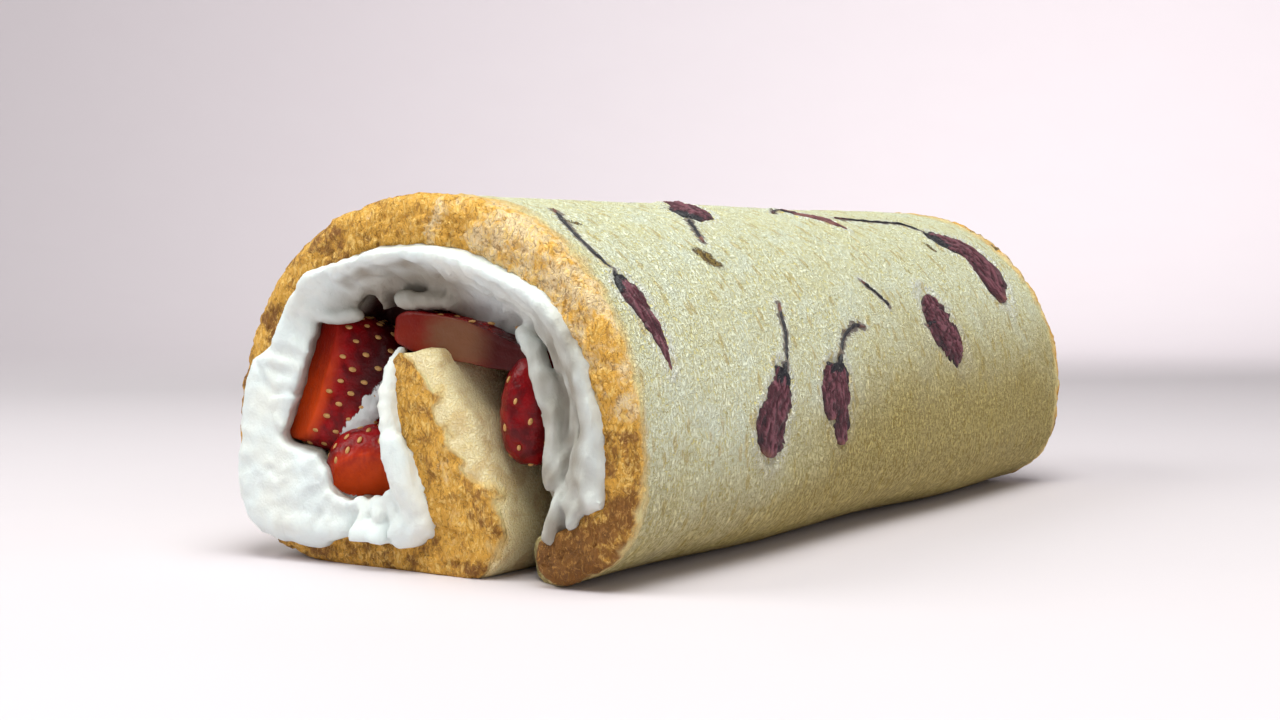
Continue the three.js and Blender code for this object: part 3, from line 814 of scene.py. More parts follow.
def sheet_net(spiral):
    """The sheet as one closed net: fine on its skin and ends, coarse where the cream hides it."""
    depths = [0.0]
    while depths[-1] < FINE_DEPTH:
        depths.append(depths[-1] + min(ROW_LAST, ROW_FIRST + ROW_GROW * len(depths)))
    depths = np.array(depths)
    near_depths = depths[depths < NEAR]
    middle_rows = round((spiral.length - 2 * FINE_DEPTH) / ROW_LAST)
    middle = np.linspace(depths[-1], spiral.length - depths[-1], middle_rows)[1:-1]
    rows = np.concatenate([depths, middle, spiral.length - depths[::-1]])
    near_rows = np.concatenate([near_depths, spiral.length - near_depths[::-1]])
    near = len(near_depths)
    turn, tip = spiral.wall_length, spiral.total
    wall = np.linspace(0, turn, round(turn / SKIN_STEP))
    tongue = np.linspace(turn, tip, round((tip - turn) / SKIN_STEP))
    whole = np.concatenate([wall, tongue[1:]])
    plies = np.linspace(0, 1, PLIES + 1)

    net = Net()
    net.patch(wall[:, None], rows, 0.0, flip=True)
    net.patch(tongue[1:, None], near_rows, 0.0, flip=True)
    net.fan_strip(net.add(wall[-1], rows, 0.0), net.add(tongue[1], near_rows, 0.0), near, flip=True)
    net.patch(whole[:, None], near_rows, 1.0)
    net.patch(whole[:, None], 0.0, plies)
    net.patch(whole[:, None], spiral.length, plies, flip=True)
    net.patch(0.0, rows, plies[:-1, None])
    net.fan_strip(net.add(0.0, rows, plies[-2]), net.add(0.0, near_rows, 1.0), near)
    net.patch(spiral.total, near_rows, plies[:, None], flip=True)
    return net.welded()


def round_section(spiral, distance):
    """Degrees round the section of places along the wall, on past the bottom for the tongue."""
    place, _, _ = spiral.along(distance)
    degrees = np.degrees(np.arctan2(place[:, 1] - WIDEST, place[:, 0]))
    degrees = np.where((degrees < -75) & (distance > spiral.wall_length / 2), degrees + 360, degrees)
    return np.where(distance > spiral.wall_length, TONGUE_DEGREES, degrees)


def table_at(table, where):
    """The table's value at each place, in between its rows too."""
    table = np.array(table, float)
    return np.interp(where, table[:, 0], table[:, 1])


def crumb(places, seed):
    """Torn, flaky crumb from about -1 to 1."""
    warp = swirls(places / 3.1, seed + 20)
    flakes = noise(places / np.array([1.9, 2.4, 1.3]) + 0.7 * warp, seed)
    fine = noise(places / 0.9 + 0.5 * warp, seed + 3)
    return 0.6 * (1 - 2.4 * np.abs(flakes)) + 0.45 * fine


class Sheet:
    """The points of the sheet: `at` in the cake, and where each lies along, across and through the sheet."""

    def __init__(self, spiral, keys):
        self.spiral = spiral
        self.distance, self.from_show, self.ply = keys.T
        self.depth = np.minimum(self.from_show, spiral.length - self.from_show)
        self.on_skin = self.ply < 0.01
        self.on_wall = self.distance < spiral.wall_length
        self.on_top = self.on_skin & self.on_wall
        self.on_end = (self.depth < 0.01) & (self.ply > 0.01) & (self.ply < 0.99)
        self.at = spiral.sheet_point(self.distance, self.from_show, self.ply)
        swell = table_at(TONGUE_SWELL, self.at[:, 2]) * smooth(self.from_show, SWELL_DEPTH, 2) * self.ply
        self.at[:, 0] -= np.where(self.distance > spiral.wall_length + SWELL_START, swell, 0)

    def baking(self):
        """How far each point is crust, and how brown it is baked."""
        degrees = round_section(self.spiral, self.distance)
        blot = noise(self.at / 5.5, 40)
        fray = noise(self.at / 2.2, 41)
        halo = table_at(HALO, degrees) * np.where(self.on_wall, 1, 0.45)
        crust = 1 - smooth(self.depth + 1.6 * blot + 0.8 * fray, 0.3, np.maximum(halo, 1.5))
        crust = np.where(self.on_end, 1, crust)
        thick = self.spiral.thickness(self.spiral.up_tongue(self.distance))
        from_cream = (1 - self.ply) * thick + self.depth * (self.ply < 0.5)
        from_tip = self.spiral.total - self.distance
        browned = table_at(TONGUE_BROWN, from_tip) + 3.0 * blot + 1.4 * fray
        crust = np.where(self.on_wall, crust, smooth(browned - from_cream, -2.4, 2.4))
        return crust, table_at(BAKE, degrees) + 0.25 * blot

    def relief(self, crust, petal, blister):
        """How far each point stands out: crumb and pores, the beds of petals, and blisters."""
        rough = crumb(self.at, 50)
        soft = fractal(self.at / 6.5, 2, 60)
        pores = 1 - smooth(cells(self.at / 4.2, 70), 0.10, 0.30)
        ledge = noise(self.at / 4.4, 80)
        out = crust * (0.70 * rough + 0.62 * ledge) + (1 - crust) * (0.16 * soft + 0.10 * rough)
        pitted = smooth(noise(self.at / 9, 71), -0.1, 0.5)
        out = out - np.where(self.on_skin, 0.38 * pores * pitted, 0)
        out = np.where(self.on_skin | self.on_end | (self.depth < 1), out, 0.5 * out)
        pressed = 0.35 * smooth(petal, 0.6, -0.6)
        raised = 0.6 * smooth(petal, 0.0, 0.8) * smooth(petal, 2.6, 1.0)
        bed = np.where(self.on_top, raised - pressed, 0)
        dome = np.where(self.on_top, 0.5 * blister - 0.9 * smooth(blister, 0.6, 1.0), 0)
        return (out + bed + dome) * smooth(self.at[:, 2], 0.0, 1.2)


def make_sponge(spiral, looks):
    """The sheet, one piece from its foot to the tip of its tongue."""
    keys, groups = sheet_net(spiral)
    sheet = Sheet(spiral, keys)
    groups = faces_outward(sheet.at, groups)
    normals = point_normals(sheet.at, groups)
    arc = (spiral.crown - sheet.distance) * spiral.skin_share
    petal, stem = near_blossoms(sheet.from_show, arc)
    blister = np.where(sheet.on_skin, blister_masks(sheet.from_show, arc), 0)
    crust, bake = sheet.baking()
    points = sheet.at + normals * sheet.relief(crust, petal, blister)[:, None]
    points[:, 2] = np.maximum(points[:, 2], 0)

    # Low on the flanks, reaching higher towards the far end, the skin is darker: partly its own browning,
    # partly painted shade
    tan_and_shade_line = points[:, 2] + 5 * noise(points / 14, 90) + 11 - 31 * smooth(sheet.from_show, 30, 150)
    stained = smooth(stem + 0.8 * noise(points / 1.6, 95), 1.0, 0.1)
    masks = {
        "crust": crust,
        "bake": bake,
        "low": smooth(tan_and_shade_line, 48, 8) * sheet.on_wall,
        "stain": np.where(sheet.on_top, stained, 0),
        "rim": np.where(sheet.on_top, smooth(np.minimum(petal, stem + 0.6), 3.2, 0.8), 0),
        "blister": blister * sheet.on_top,
        "inner": ~sheet.on_wall,
    }
    places = stacked(sheet.distance, sheet.from_show, sheet.ply * spiral.sheet)
    faces = groups[0].tolist() + groups[1].tolist()
    make_piece("sponge", points, faces, [sponge_paint(looks)], ["sponge"], masks, places)


# The sponge's colours besides those of its settings
WARM_SKIN, COOL_SKIN = (0.90, 0.84, 0.44), (0.91, 0.98, 0.84)
SALTED_SKIN = (0.90, 0.91, 0.82)  # round the petals
SKIN_MARK, SKIN_FLECK = (0.62, 0.46, 0.13), (0.50, 0.40, 0.08)
# Strands low on the flanks: partly the skin's own browning, partly painted shade
TAN_AND_SHADE_STRAND = (0.66, 0.52, 0.155)
TONGUE_CRUMB, TONGUE_STRAND = (0.84, 0.68, 0.33), (0.96, 0.84, 0.52)
TOASTED = (0.62, 0.40, 0.15)
PALE_CRUST, BURNT_CRUST = (0.90, 0.68, 0.38), (0.12, 0.045, 0.008)
# Painted highlight on the crust's raised flakes, and painted shade in the gaps between them
PALE_FLAKE_HIGHLIGHT, BROWN_FLAKE_HIGHLIGHT = (0.98, 0.66, 0.20), (0.48, 0.23, 0.05)
FLAKE_GAP_SHADE = (0.24, 0.10, 0.014)
PALE_HALO, GOLD_HALO = (0.94, 0.82, 0.40), (0.84, 0.56, 0.20)
BLISTER_RIM = (0.14, 0.10, 0.055)
DARK_PIT, LIGHT_PIT = (0.12, 0.075, 0.035), (0.36, 0.25, 0.07)
STEM_STAIN = (0.15, 0.10, 0.095)


def skin_colour(paint, looks, where, felt, inner):
    """The pale skin: clouds, marks, flecks, browning and painted shade low on the flanks; the tongue's
    crumb.
    """
    clouds = paint.noise(where, 13, 3)
    marks = paint.cells(paint.stirred(paint.place((0.6, 1.2, 1)), 3.0, 1.5), 4.6)
    skin = paint.blend(felt.step(0.38, 0.52), looks.gap, looks.skin)
    skin = paint.blend(clouds.step(0.5, 0.72) * 0.45, skin, WARM_SKIN)
    skin = paint.blend(clouds.step(0.5, 0.28) * 0.45, skin, COOL_SKIN)
    skin = paint.blend(paint.mask("rim") * felt.step(0.40, 0.5) * 0.8, skin, SALTED_SKIN)
    skin = paint.blend(marks.step(0.30, 0.18) * 0.55, skin, SKIN_MARK)
    flecks = paint.noise(paint.stirred(where, 2.0, 1.6), 1.8, 2)
    skin = paint.blend(flecks.step(0.655, 0.70) * 0.6, skin, SKIN_FLECK)
    # Low on the flanks: partly the skin's own browning, partly painted shade
    tanned_and_shaded = paint.blend(felt.step(0.40, 0.60), looks.tan, TAN_AND_SHADE_STRAND)
    skin = paint.blend(paint.mask("low") * 0.9, skin, tanned_and_shaded)
    tongue = paint.blend(felt.step(0.3, 0.65), TONGUE_CRUMB, TONGUE_STRAND)
    toasted = paint.noise(where, 5, 3).step(0.48, 0.66) * 0.55
    return paint.blend(inner, skin, paint.blend(toasted, tongue, TOASTED))


def crust_colour(paint, looks, patches, crumbs, flakes, tone):
    """The crust of the ends, pale gold to burnt, in flakes: painted highlight on their tops, painted shade
    between.
    """
    bake = paint.mask("bake")
    level = bake + (patches - 0.5) * 1.7 + (crumbs - 0.5) * 1.1 + (tone - 0.5) * 0.2
    brown = paint.blend(level.step(-0.15, 0.3), PALE_CRUST, looks.crust)
    brown = paint.blend(level.step(0.45, 0.95), brown, looks.dark_crust)
    brown = paint.blend(level.step(0.95, 1.5) * 0.8, brown, BURNT_CRUST)
    # Painted highlight on the raised flakes, browner where more baked, and painted shade in their gaps
    flaky = paint.blend(level.step(0.5, 1.1), PALE_FLAKE_HIGHLIGHT, BROWN_FLAKE_HIGHLIGHT)
    brown = paint.blend(flakes.step(0.53, 0.61) * 0.75, brown, flaky)
    return paint.blend(flakes.step(0.45, 0.36) * 0.6, brown, FLAKE_GAP_SHADE)


def sponge_paint(looks):
    """Pale felted skin, and a flaky golden-brown crust where the sheet's ends were baked."""
    paint = Paint("sponge")
    where = paint.spot()
    strands = paint.noise(paint.place((0.55, 1.1, 1)), 0.64, 2, 0.55, 1.0)
    weave = paint.noise(paint.place((1.1, 0.6, 1)), 0.70, 2, 0.55, 1.0)
    inner = paint.mask("inner")
    felt = (strands * 0.62 + weave * 0.38) * (1 - inner) + paint.noise(where, 0.45, 2) * inner
    stirred = paint.stirred(paint.spot((1, 1, 0.8)), 2.6, 1.5)
    flakes = paint.noise(paint.stirred(paint.spot((1.3, 1, 0.65)), 2.2, 1.8), 1.15, 3, 0.62, 0.8)
    crumbs = paint.noise(stirred, 1.7, 4, 0.68, 0.5)
    tone = paint.cells(stirred, 1.9, "Color")
    patches = paint.noise(where, 8, 3, 0.58, 0.7)
    skin = skin_colour(paint, looks, where, felt, inner)
    brown = crust_colour(paint, looks, patches, crumbs, flakes, tone)

    halo = paint.blend(patches.step(0.3, 0.7), PALE_HALO, GOLD_HALO)
    edge = paint.mask("crust") + (patches - 0.5) * 0.25 + (flakes - 0.5) * 0.25
    colour = paint.blend(edge.step(0.02, 0.50) * 0.9, skin, halo)
    colour = paint.blend(edge.step(0.48, 0.84), colour, brown)
    blister = paint.mask("blister")
    colour = paint.blend(blister.step(0.05, 0.35) * flakes.step(0.38, 0.55), colour, BLISTER_RIM)
    pit = paint.blend(flakes.step(0.44, 0.58), DARK_PIT, LIGHT_PIT)
    colour = paint.blend(blister.step(0.4, 0.8), colour, pit)
    stained = (paint.mask("stain") + (flakes - 0.5) * 0.6).step(0.35, 0.75)
    colour = paint.blend(stained * 0.8, colour, STEM_STAIN)

    crumbly = edge.step(0.3, 0.7)
    felted = felt.step(0.36, 0.62) * (0.9 - inner * 0.6)
    height = felted * (1 - crumbly) + (flakes * 1.2 + crumbs * 1.3) * crumbly
    return paint.finish(
        Base_Color=colour,
        Roughness=0.78 - crumbly * 0.16,
        Normal=paint.bump(height, 0.8),
        Specular_IOR_Level=0.35,
    )


# ---------------------------------------------------------------- strawberries
# Each is a rounded block, `at` (x, depth, z) with half its `size` (across, deep, tall). `boxy` 2 is an egg
# and 4 a block. `lean` tips its top to the right and `turn` swings its front to the right, in degrees. `cut`
# is a knife's cut: the direction it faces and how far it lies from the middle. `pale` is the share of pale
# flesh in the cut, and `heart` moves its pale core to the right. Some have more. `blush`: how far the cut's
# orange-red runs on over the skin. `pitch`: the distance between seeds. `seeds`: the way they point. `thin`:
# how much thinner the right end is. `shaded_side`: painted shade over a side that lies in shade (how dark,
# from which x, from which z). `smear`: cream that was left on it (a line of places (x, z) in the cake, and
# its width).
BERRIES = {
    "show_half": {
        "at": (-34.5, 13.5, 42), "size": (15, 10, 17), "boxy": 4.0, "lean": 18, "turn": 22,
        "cut": ((-0.634, -0.769, 0), 8.9), "pale": 0.0, "blush": 2.5, "seeds": (1.0, 0, 0.1),
        "shaded_side": (1.0, 0, -10), "smear": (((-29, 25), (-26.5, 30), (-22.5, 36), (-19, 41)), 2.6),
    },
    "show_tip": {
        "at": (-23.2, 10, 22.4), "size": (10.5, 9, 10), "boxy": 2.2, "lean": -10, "turn": 15,
        "cut": ((0.1, -0.85, -0.52), 6), "pale": 0.0, "blush": 4.0, "pitch": 4.0,
        "smear": (((-34, 22), (-31, 17), (-26, 14)), 2.4),
    },
    "show_slice": {
        "at": (8.9, 10.6, 53.0), "size": (20.5, 9, 4.9), "boxy": 4.4, "lean": 8, "turn": 3,
        "cut": ((0, -1, 0), 5.5), "pale": 1.0, "heart": -1.0, "thin": 0.75, "shaded_side": (1.0, 1, -30),
    },
    "show_side": {
        "at": (25, 11.5, 38.5), "size": (7.5, 9, 13.5), "boxy": 2.3, "lean": 8, "turn": 12,
        "cut": ((-0.6, 0.8, 0), 7), "pale": 0.0, "pitch": 6.2, "shaded_side": (0.4, -30, -40),
    },
    "far_half": {
        "at": (-30, 12, 42), "size": (12, 9.5, 13.5), "boxy": 3, "lean": 8, "turn": -14,
        "cut": ((0.3, -0.95, 0), 8), "pale": 0.6,
    },
    "far_tip": {
        "at": (-23, 9, 21), "size": (9, 9.5, 8), "boxy": 2.2, "lean": 12, "turn": 8,
        "cut": ((0.2, -0.9, 0.4), 7.5), "pale": 0.3,
    },
    "far_slice": {
        "at": (7, 12, 56), "size": (15, 9, 4.4), "boxy": 3.2, "lean": -9, "turn": -5,
        "cut": ((0, -1, 0), 8), "pale": 1.0, "heart": -3.0,
    },
    "far_side": {
        "at": (29, 14, 38), "size": (6.5, 9, 10), "boxy": 2.3, "lean": 3, "turn": -10,
        "cut": ((0, -1, 0), 7.5), "pale": 0.4,
    },
}
BERRY_GRID = (150, 84)  # points round each strawberry, and up it
SEED_PITCH = 3.5  # between seeds
SEED_SIZE = (0.54, 0.36, 0.88)  # half a seed's width, thickness and length
SEED_GRID = (10, 6)  # points round each seed, and along it
SEED_SINK = 0.26  # how deep its middle lies under the skin
DENT_DEEP, DENT_WIDE = 0.42, 0.9  # the dents that hold the seeds
SHEET_CLEAR = 0.3  # the least gap between a strawberry and the sheet
# A strawberry's colours besides those of its settings, and the cream left on it
DARK_SKIN, DENT_RED = (0.12, 0.002, 0.004), (0.34, 0.03, 0.01)
RED_FLESH, DULL_FLESH = (0.34, 0.014, 0.008), (0.15, 0.007, 0.002)
# Painted shade over a strawberry's shaded side
SHADE_RED = (0.03, 0.001, 0.002)
CREAM_SMEAR = (0.66, 0.68, 0.68)
BROWN_SEED = (0.46, 0.24, 0.06)


def berry_form(ways, size, boxy):
    """Points of a rounded block in the given directions."""
    shares = np.sum(np.abs(ways / np.array(size)) ** boxy, axis=-1) ** (-1 / boxy)
    return ways * shares[..., None]


def berry_seats(size, boxy, cut, pitch, seed):
    """Where the seeds sit on a strawberry's skin: even rows that wind up it."""
    area = 4 * math.pi * (size[0] * size[1] * size[2]) ** (2 / 3) * 1.15
    count = int(area / pitch ** 2)
    k = np.arange(count) + 0.5
    tilt = np.arccos(1 - 2 * k / count)
    turn = math.pi * (1 + 5 ** 0.5) * k + seed
    seats = berry_form(ways_of(tilt, turn) * np.array(size), size, boxy)
    facing, keep = np.array(cut[0]) / np.linalg.norm(cut[0]), cut[1]
    return seats[seats @ facing < keep - 1.2]


def place_berry(spiral, points, berry, far):
    """Moves points from a strawberry's own frame into the cake."""
    lean, turn = math.radians(berry["lean"]), math.radians(berry["turn"]) + (math.pi if far else 0)
    x = points[:, 0] * math.cos(lean) + points[:, 2] * math.sin(lean)
    z = points[:, 2] * math.cos(lean) - points[:, 0] * math.sin(lean)
    placed_x = x * math.cos(turn) - points[:, 1] * math.sin(turn)
    placed_y = x * math.sin(turn) + points[:, 1] * math.cos(turn)
    at_x, depth, at_z = berry["at"]
    y = SHOW_END + spiral.length - depth if far else SHOW_END + depth
    return stacked(placed_x + at_x, placed_y + y, z + spiral.settle(at_z, y))


def clear_of_sheet(spiral, points, at):
    """Draws the points that lie in the sheet back towards the strawberry's middle."""
    points = points.copy()
    for _ in range(30):
        inside = spiral.sheet_gap(points[:, 0], points[:, 2])[0] < SHEET_CLEAR
        points[inside, 0] += 0.05 * (at[0] - points[inside, 0])
        points[inside, 2] += 0.05 * (at[2] - points[inside, 2])
    return points


def berry_core(points, size, facing, heart):
    """How near points lie to the core of the cut, from 0 to 1."""
    in_plane = points - np.outer(points @ facing, facing) - np.array([heart, 0, 0])
    shares = np.abs(in_plane / (size * np.array([0.66, 1, 1.6])))
    return smooth(np.sum(shares ** 2.6, axis=1) ** (1 / 2.6), 1.1, 0.25)


def berry_mesh(berry, seats, seed):
    """A strawberry piece in its own frame, with dents that hold its seeds."""
    ways, groups = ball_grid(*BERRY_GRID)
    size, boxy = np.array(berry["size"], float), berry["boxy"]
    points = berry_form(ways * size ** 0.5, size, boxy)
    facing, keep = np.array(berry["cut"][0], float), berry["cut"][1]
    facing /= np.linalg.norm(facing)
    reach = points @ facing
    cut = smooth(reach, keep - 0.6, keep + 0.1)
    blush = smooth(reach, keep - berry.get("blush", 0.6), keep + 0.1)
    points = points * np.where(reach > keep, keep / np.maximum(reach, 1e-6), 1)[:, None]
    normals = point_normals(points, faces_outward(points, groups))
    dent = np.zeros(len(points))
    for seat in seats:
        dent = np.maximum(dent, np.exp(-np.sum((points - seat) ** 2, axis=1) / DENT_WIDE))
    swell = fractal(points / 5, 2, seed)
    core = berry_core(points, size, facing, berry.get("heart", 0.0))
    # Painted shade: a darker side where the piece lies in the shade of a hollow or of the arch
    dark, right, low = berry.get("shaded_side", (0, 0, 0))
    shaded_side = dark * smooth(points[:, 0], right - 1, right + 9) * smooth(points[:, 2], low, low + 14)
    out = (1 - cut) * (0.3 * swell - DENT_DEEP * dent) + cut * 0.22 * swell
    points = points + normals * out[:, None]
    masks = {"cut": blush, "core": core, "dent": dent, "tall": points[:, 2] / size[2], "shaded_side": shaded_side}
    thinner = 1 - berry.get("thin", 0) * smooth(points[:, 0], -4, size[0])
    points[:, 2] *= np.where(points[:, 2] > 0, thinner, 1)
    return points, groups, masks


def seed_meshes(berry, seats):
    """The points of each seed in the strawberry's own frame, and the faces that every seed has."""
    ways, groups = ball_grid(*SEED_GRID)
    size = np.array(berry["size"], float)
    seeds = []
    for index, seat in enumerate(seats):
        outward = seat / size ** 2
        outward /= np.linalg.norm(outward)
        up = np.array(berry.get("seeds", (0.25, 0, 1.0)))
        up = up - outward * (up @ outward)
        up /= np.linalg.norm(up)
        side = np.cross(up, outward)
        grow = 0.85 + 0.3 * ((index * 0.618) % 1)
        local = ways * np.array(SEED_SIZE) * grow
        seeds.append(seat - outward * SEED_SINK + local @ np.stack([side, outward, up]))
    return seeds, groups[0].tolist() + groups[1].tolist()


def smear_mask(points, berry):
    """Where cream was left on a strawberry: 1 along a smear, down to 0 past its ragged edge."""
    if "smear" not in berry:
        return np.zeros(len(points))
    line, width = berry["smear"]
    nearest = line_distance(points[:, 0], points[:, 2], np.array(line, float))
    return 1 - smooth(nearest + 1.2 * noise(points / 2.4, 30), width * 0.4, width * 1.3)


def berry_paint(looks):
    """Glossy strawberry: deep red skin, orange-red flesh where it was cut, pale towards the core; painted
    shade on one side.
    """
    paint = Paint("strawberry")
    where = paint.spot()
    cut, core, dent = paint.mask("cut"), paint.mask("core"), paint.mask("dent")
    pale, tall = paint.mask("pale"), paint.mask("tall")
    mottle = paint.noise(where, 3.2, 3)
    fine = paint.noise(where, 0.7, 3)
    skin = paint.blend(mottle.step(0.35, 0.7), looks.skin, DARK_SKIN)
    skin = paint.blend(dent * 0.35, skin, DENT_RED)
    streaks = paint.noise(paint.spot((1, 1, 0.25)), 1.0, 3)
    flesh = paint.blend((tall * 0.75 + streaks * 0.6).step(0.0, 0.85), looks.flesh, RED_FLESH)
    flesh = paint.blend(pale * 0.9, flesh, DULL_FLESH)
    grain = paint.noise(paint.spot((0.6, 1, 1.4)), 1.6, 3)
    flesh = paint.blend((core + (grain - 0.5) * 0.5).step(0.0, 1.0) * pale, flesh, looks.core)
    colour = paint.blend(cut, skin, flesh)
    # Painted shade over the shaded side
    colour = paint.blend(paint.mask("shaded_side") * 0.88, colour, SHADE_RED)
    strokes = paint.noise(paint.stirred(paint.spot((1.6, 1.6, 0.7)), 1.5, 1), 1.1, 3)
    smear = (paint.mask("smear") + (strokes - 0.5) * 1.5).step(0.42, 0.62)
    colour = paint.blend(smear, colour, CREAM_SMEAR)
    height = mottle * 0.5 + fine * 0.35 + smear * 0.8
    return paint.finish(
        Base_Color=colour,
        Roughness=0.2 + mottle * 0.14 + cut * 0.08 + smear * 0.2,
        Normal=paint.bump(height, 0.45),
        Coat_Weight=0.04,
        Coat_Roughness=0.1,
        Specular_IOR_Level=0.15,
    )


def seed_paint(looks):
    """Straw-coloured seeds, browner in places."""
    paint = Paint("strawberry_seed")
    spot = paint.noise(paint.spot(), 0.9, 2)
    colour = paint.blend(spot.step(0.4, 0.7), looks.seed, BROWN_SEED)
    return paint.finish(Base_Color=colour, Roughness=0.4 + spot * 0.2, Normal=paint.bump(spot, 0.2))


def make_strawberries(spiral, looks):
    """The strawberry pieces that show at the two ends."""
    materials = [berry_paint(looks), seed_paint(looks)]
    for index, (name, berry) in enumerate(BERRIES.items()):
        far = name.startswith("far")
        pitch = berry.get("pitch", SEED_PITCH)
        seats = berry_seats(berry["size"], berry["boxy"], berry["cut"], pitch, index + 1)
        points, groups, masks = berry_mesh(berry, seats, index + 1)
        points = place_berry(spiral, points, berry, far)
        masks["smear"] = smear_mask(points, berry)
        normals = point_normals(points, faces_outward(points, groups))
        thick = masks["smear"] * (0.5 + 0.5 * noise(points / 1.5, 31))
        points = points + normals * thick[:, None]
        if "heart" not in berry:
            points = clear_of_sheet(spiral, points, berry["at"])
        groups = faces_outward(points, groups)
        faces = groups[0].tolist() + groups[1].tolist()
        second = [0] * len(faces)
        seeds, seed_faces = seed_meshes(berry, seats)
        parts, start = [points], len(points)
        for one in seeds:
            faces += [[number + start for number in face] for face in seed_faces]
            second += [1] * len(seed_faces)
            parts.append(place_berry(spiral, one, berry, far))
            start += len(one)
        masks = {key: np.append(value, np.zeros(start - len(points))) for key, value in masks.items()}
        masks["pale"] = np.full(start, berry["pale"])
        piece = "strawberry_" + name
        make_piece(piece, np.vstack(parts), faces, materials, [piece], masks, second=second)


# ---------------------------------------------------------------- cream
# The cream's front at the show end, as places (x, z) in the section and the depth of its surface there.
RELIEF = (
    (48.5, 19.5, -2.0), (48.3, 27, -2), (47.5, 35, -2), (46.5, 42, -2), (43.5, 50, -2.2), (39, 57, -2.6),
    (34, 61.5, -2.8), (27, 65, -3), (18, 68.3, -3), (8, 71, -3), (0, 72, -3), (-10, 71.5, -2.6),
    (-18, 69.5, -2.4), (-26, 68, -2.4), (-32, 65.5, -2.6), (-36.5, 61, -3), (-41, 54.5, -3.6),
    (-47, 48, -4.2), (-50, 41, -4.8), (-51.5, 33, -5.2), (-52, 25, -5.3), (-51.5, 17, -5),
    (-49, 11, -4.6), (-43, 8, -4.2), (-35, 7, -3.8), (-28, 7.5, -3.2), (-18.5, 8, -1.6), (-6, 9, -1.8),
    (-2, 10.5, -2.8), (40, 20, 0.2), (39.5, 30, 1.4), (38.5, 40, 2.8), (35.5, 48, 5.2), (32, 53.5, 7.5),
    (26, 57.5, 9.2), (18, 60, 9.5), (8, 63, 9.5), (0, 64.5, 9.5), (-8, 65.5, 10), (-14, 63, 9),
    (-20, 61.5, 7), (-28, 60, 4.5), (-32.5, 58.5, 1.5), (-36, 50, -1.8), (-39, 42, -3), (-42.5, 34, -4),
    (-43.5, 27, -4.6), (-37, 24, -4), (-31, 20.5, -3.8), (-28, 16, -4), (-23, 12.5, -3.6),
    (-17, 12, -2.6), (-11, 13, -2.6), (0.5, 12, -3.4), (-1.5, 20, -2.6), (-4, 28, -2), (-6.3, 35, -1.6),
    (-7.2, 42, -1), (-7, 48, 1), (-7, 54, 5), (20, 40, 9), (30, 20, 6), (20, 10, 3),
)
# The outer edge of the cream on the sheet's end, from its lowest drip on the right over the top to the
# tongue
EDGE = (
    (38.5, 9.5), (40, 14), (43, 17), (46.5, 17), (50, 18.5), (51, 24), (50.3, 35), (49.5, 40), (46.5, 50),
    (41.5, 58), (36.5, 63), (30, 67), (22, 69.7), (15, 72), (8, 74), (0, 74.7), (-10, 74.3), (-17, 72.2),
    (-25, 70.5), (-31.5, 69), (-36.5, 64), (-39.5, 60), (-44.5, 51.5), (-50, 48), (-52, 43.5), (-54, 36),
    (-55, 28), (-55.5, 20), (-54.5, 14), (-52, 9), (-48.5, 6), (-44, 4.6), (-37, 3.8), (-30, 3.6),
    (-25, 5.8), (-21.5, 7), (-10, 7), (-6, 5.6), (-1, 6.5), (3.6, 9), (4, 12), (2.4, 18), (-0.6, 25),
    (-4, 32), (-6, 38), (-6.4, 45), (-5.6, 52), (10, 48), (28, 42), (33, 25), (34.8, 12), (35.2, 9.5),
)
LEFT_HOLLOW = (
    (-30.5, 59), (-27, 58.2), (-23, 58.6), (-20, 60), (-17.4, 62.9), (-15.8, 65), (-11.7, 65), (-9.8, 62),
    (-8.3, 56), (-6.6, 50.9), (-7.4, 44.1), (-7.9, 38.2), (-6.8, 33.3), (-5.0, 27.4), (-4.2, 22.5),
    (-5.2, 18), (-8.8, 16), (-12.3, 15), (-18.8, 13.8), (-23.2, 15), (-25.5, 17.6), (-27.1, 22),
    (-30.1, 24.8), (-36.0, 25.7), (-39.6, 27.0), (-41.0, 30.4), (-37.8, 38), (-34.8, 46), (-32.2, 53),
)
RIGHT_HOLLOW = (
    (-10.2, 61.4), (-2.5, 60.8), (2.2, 59.8), (8.3, 57.2), (12.4, 54.9), (19.6, 53.2), (24.7, 51.6),
    (28.2, 49.6), (30.6, 44.6), (33, 37.6), (34.2, 29.6), (34.4, 21.7), (34.4, 12), (34, 4), (30, 0),
    (20, 2), (8, 12), (-4, 45),
)
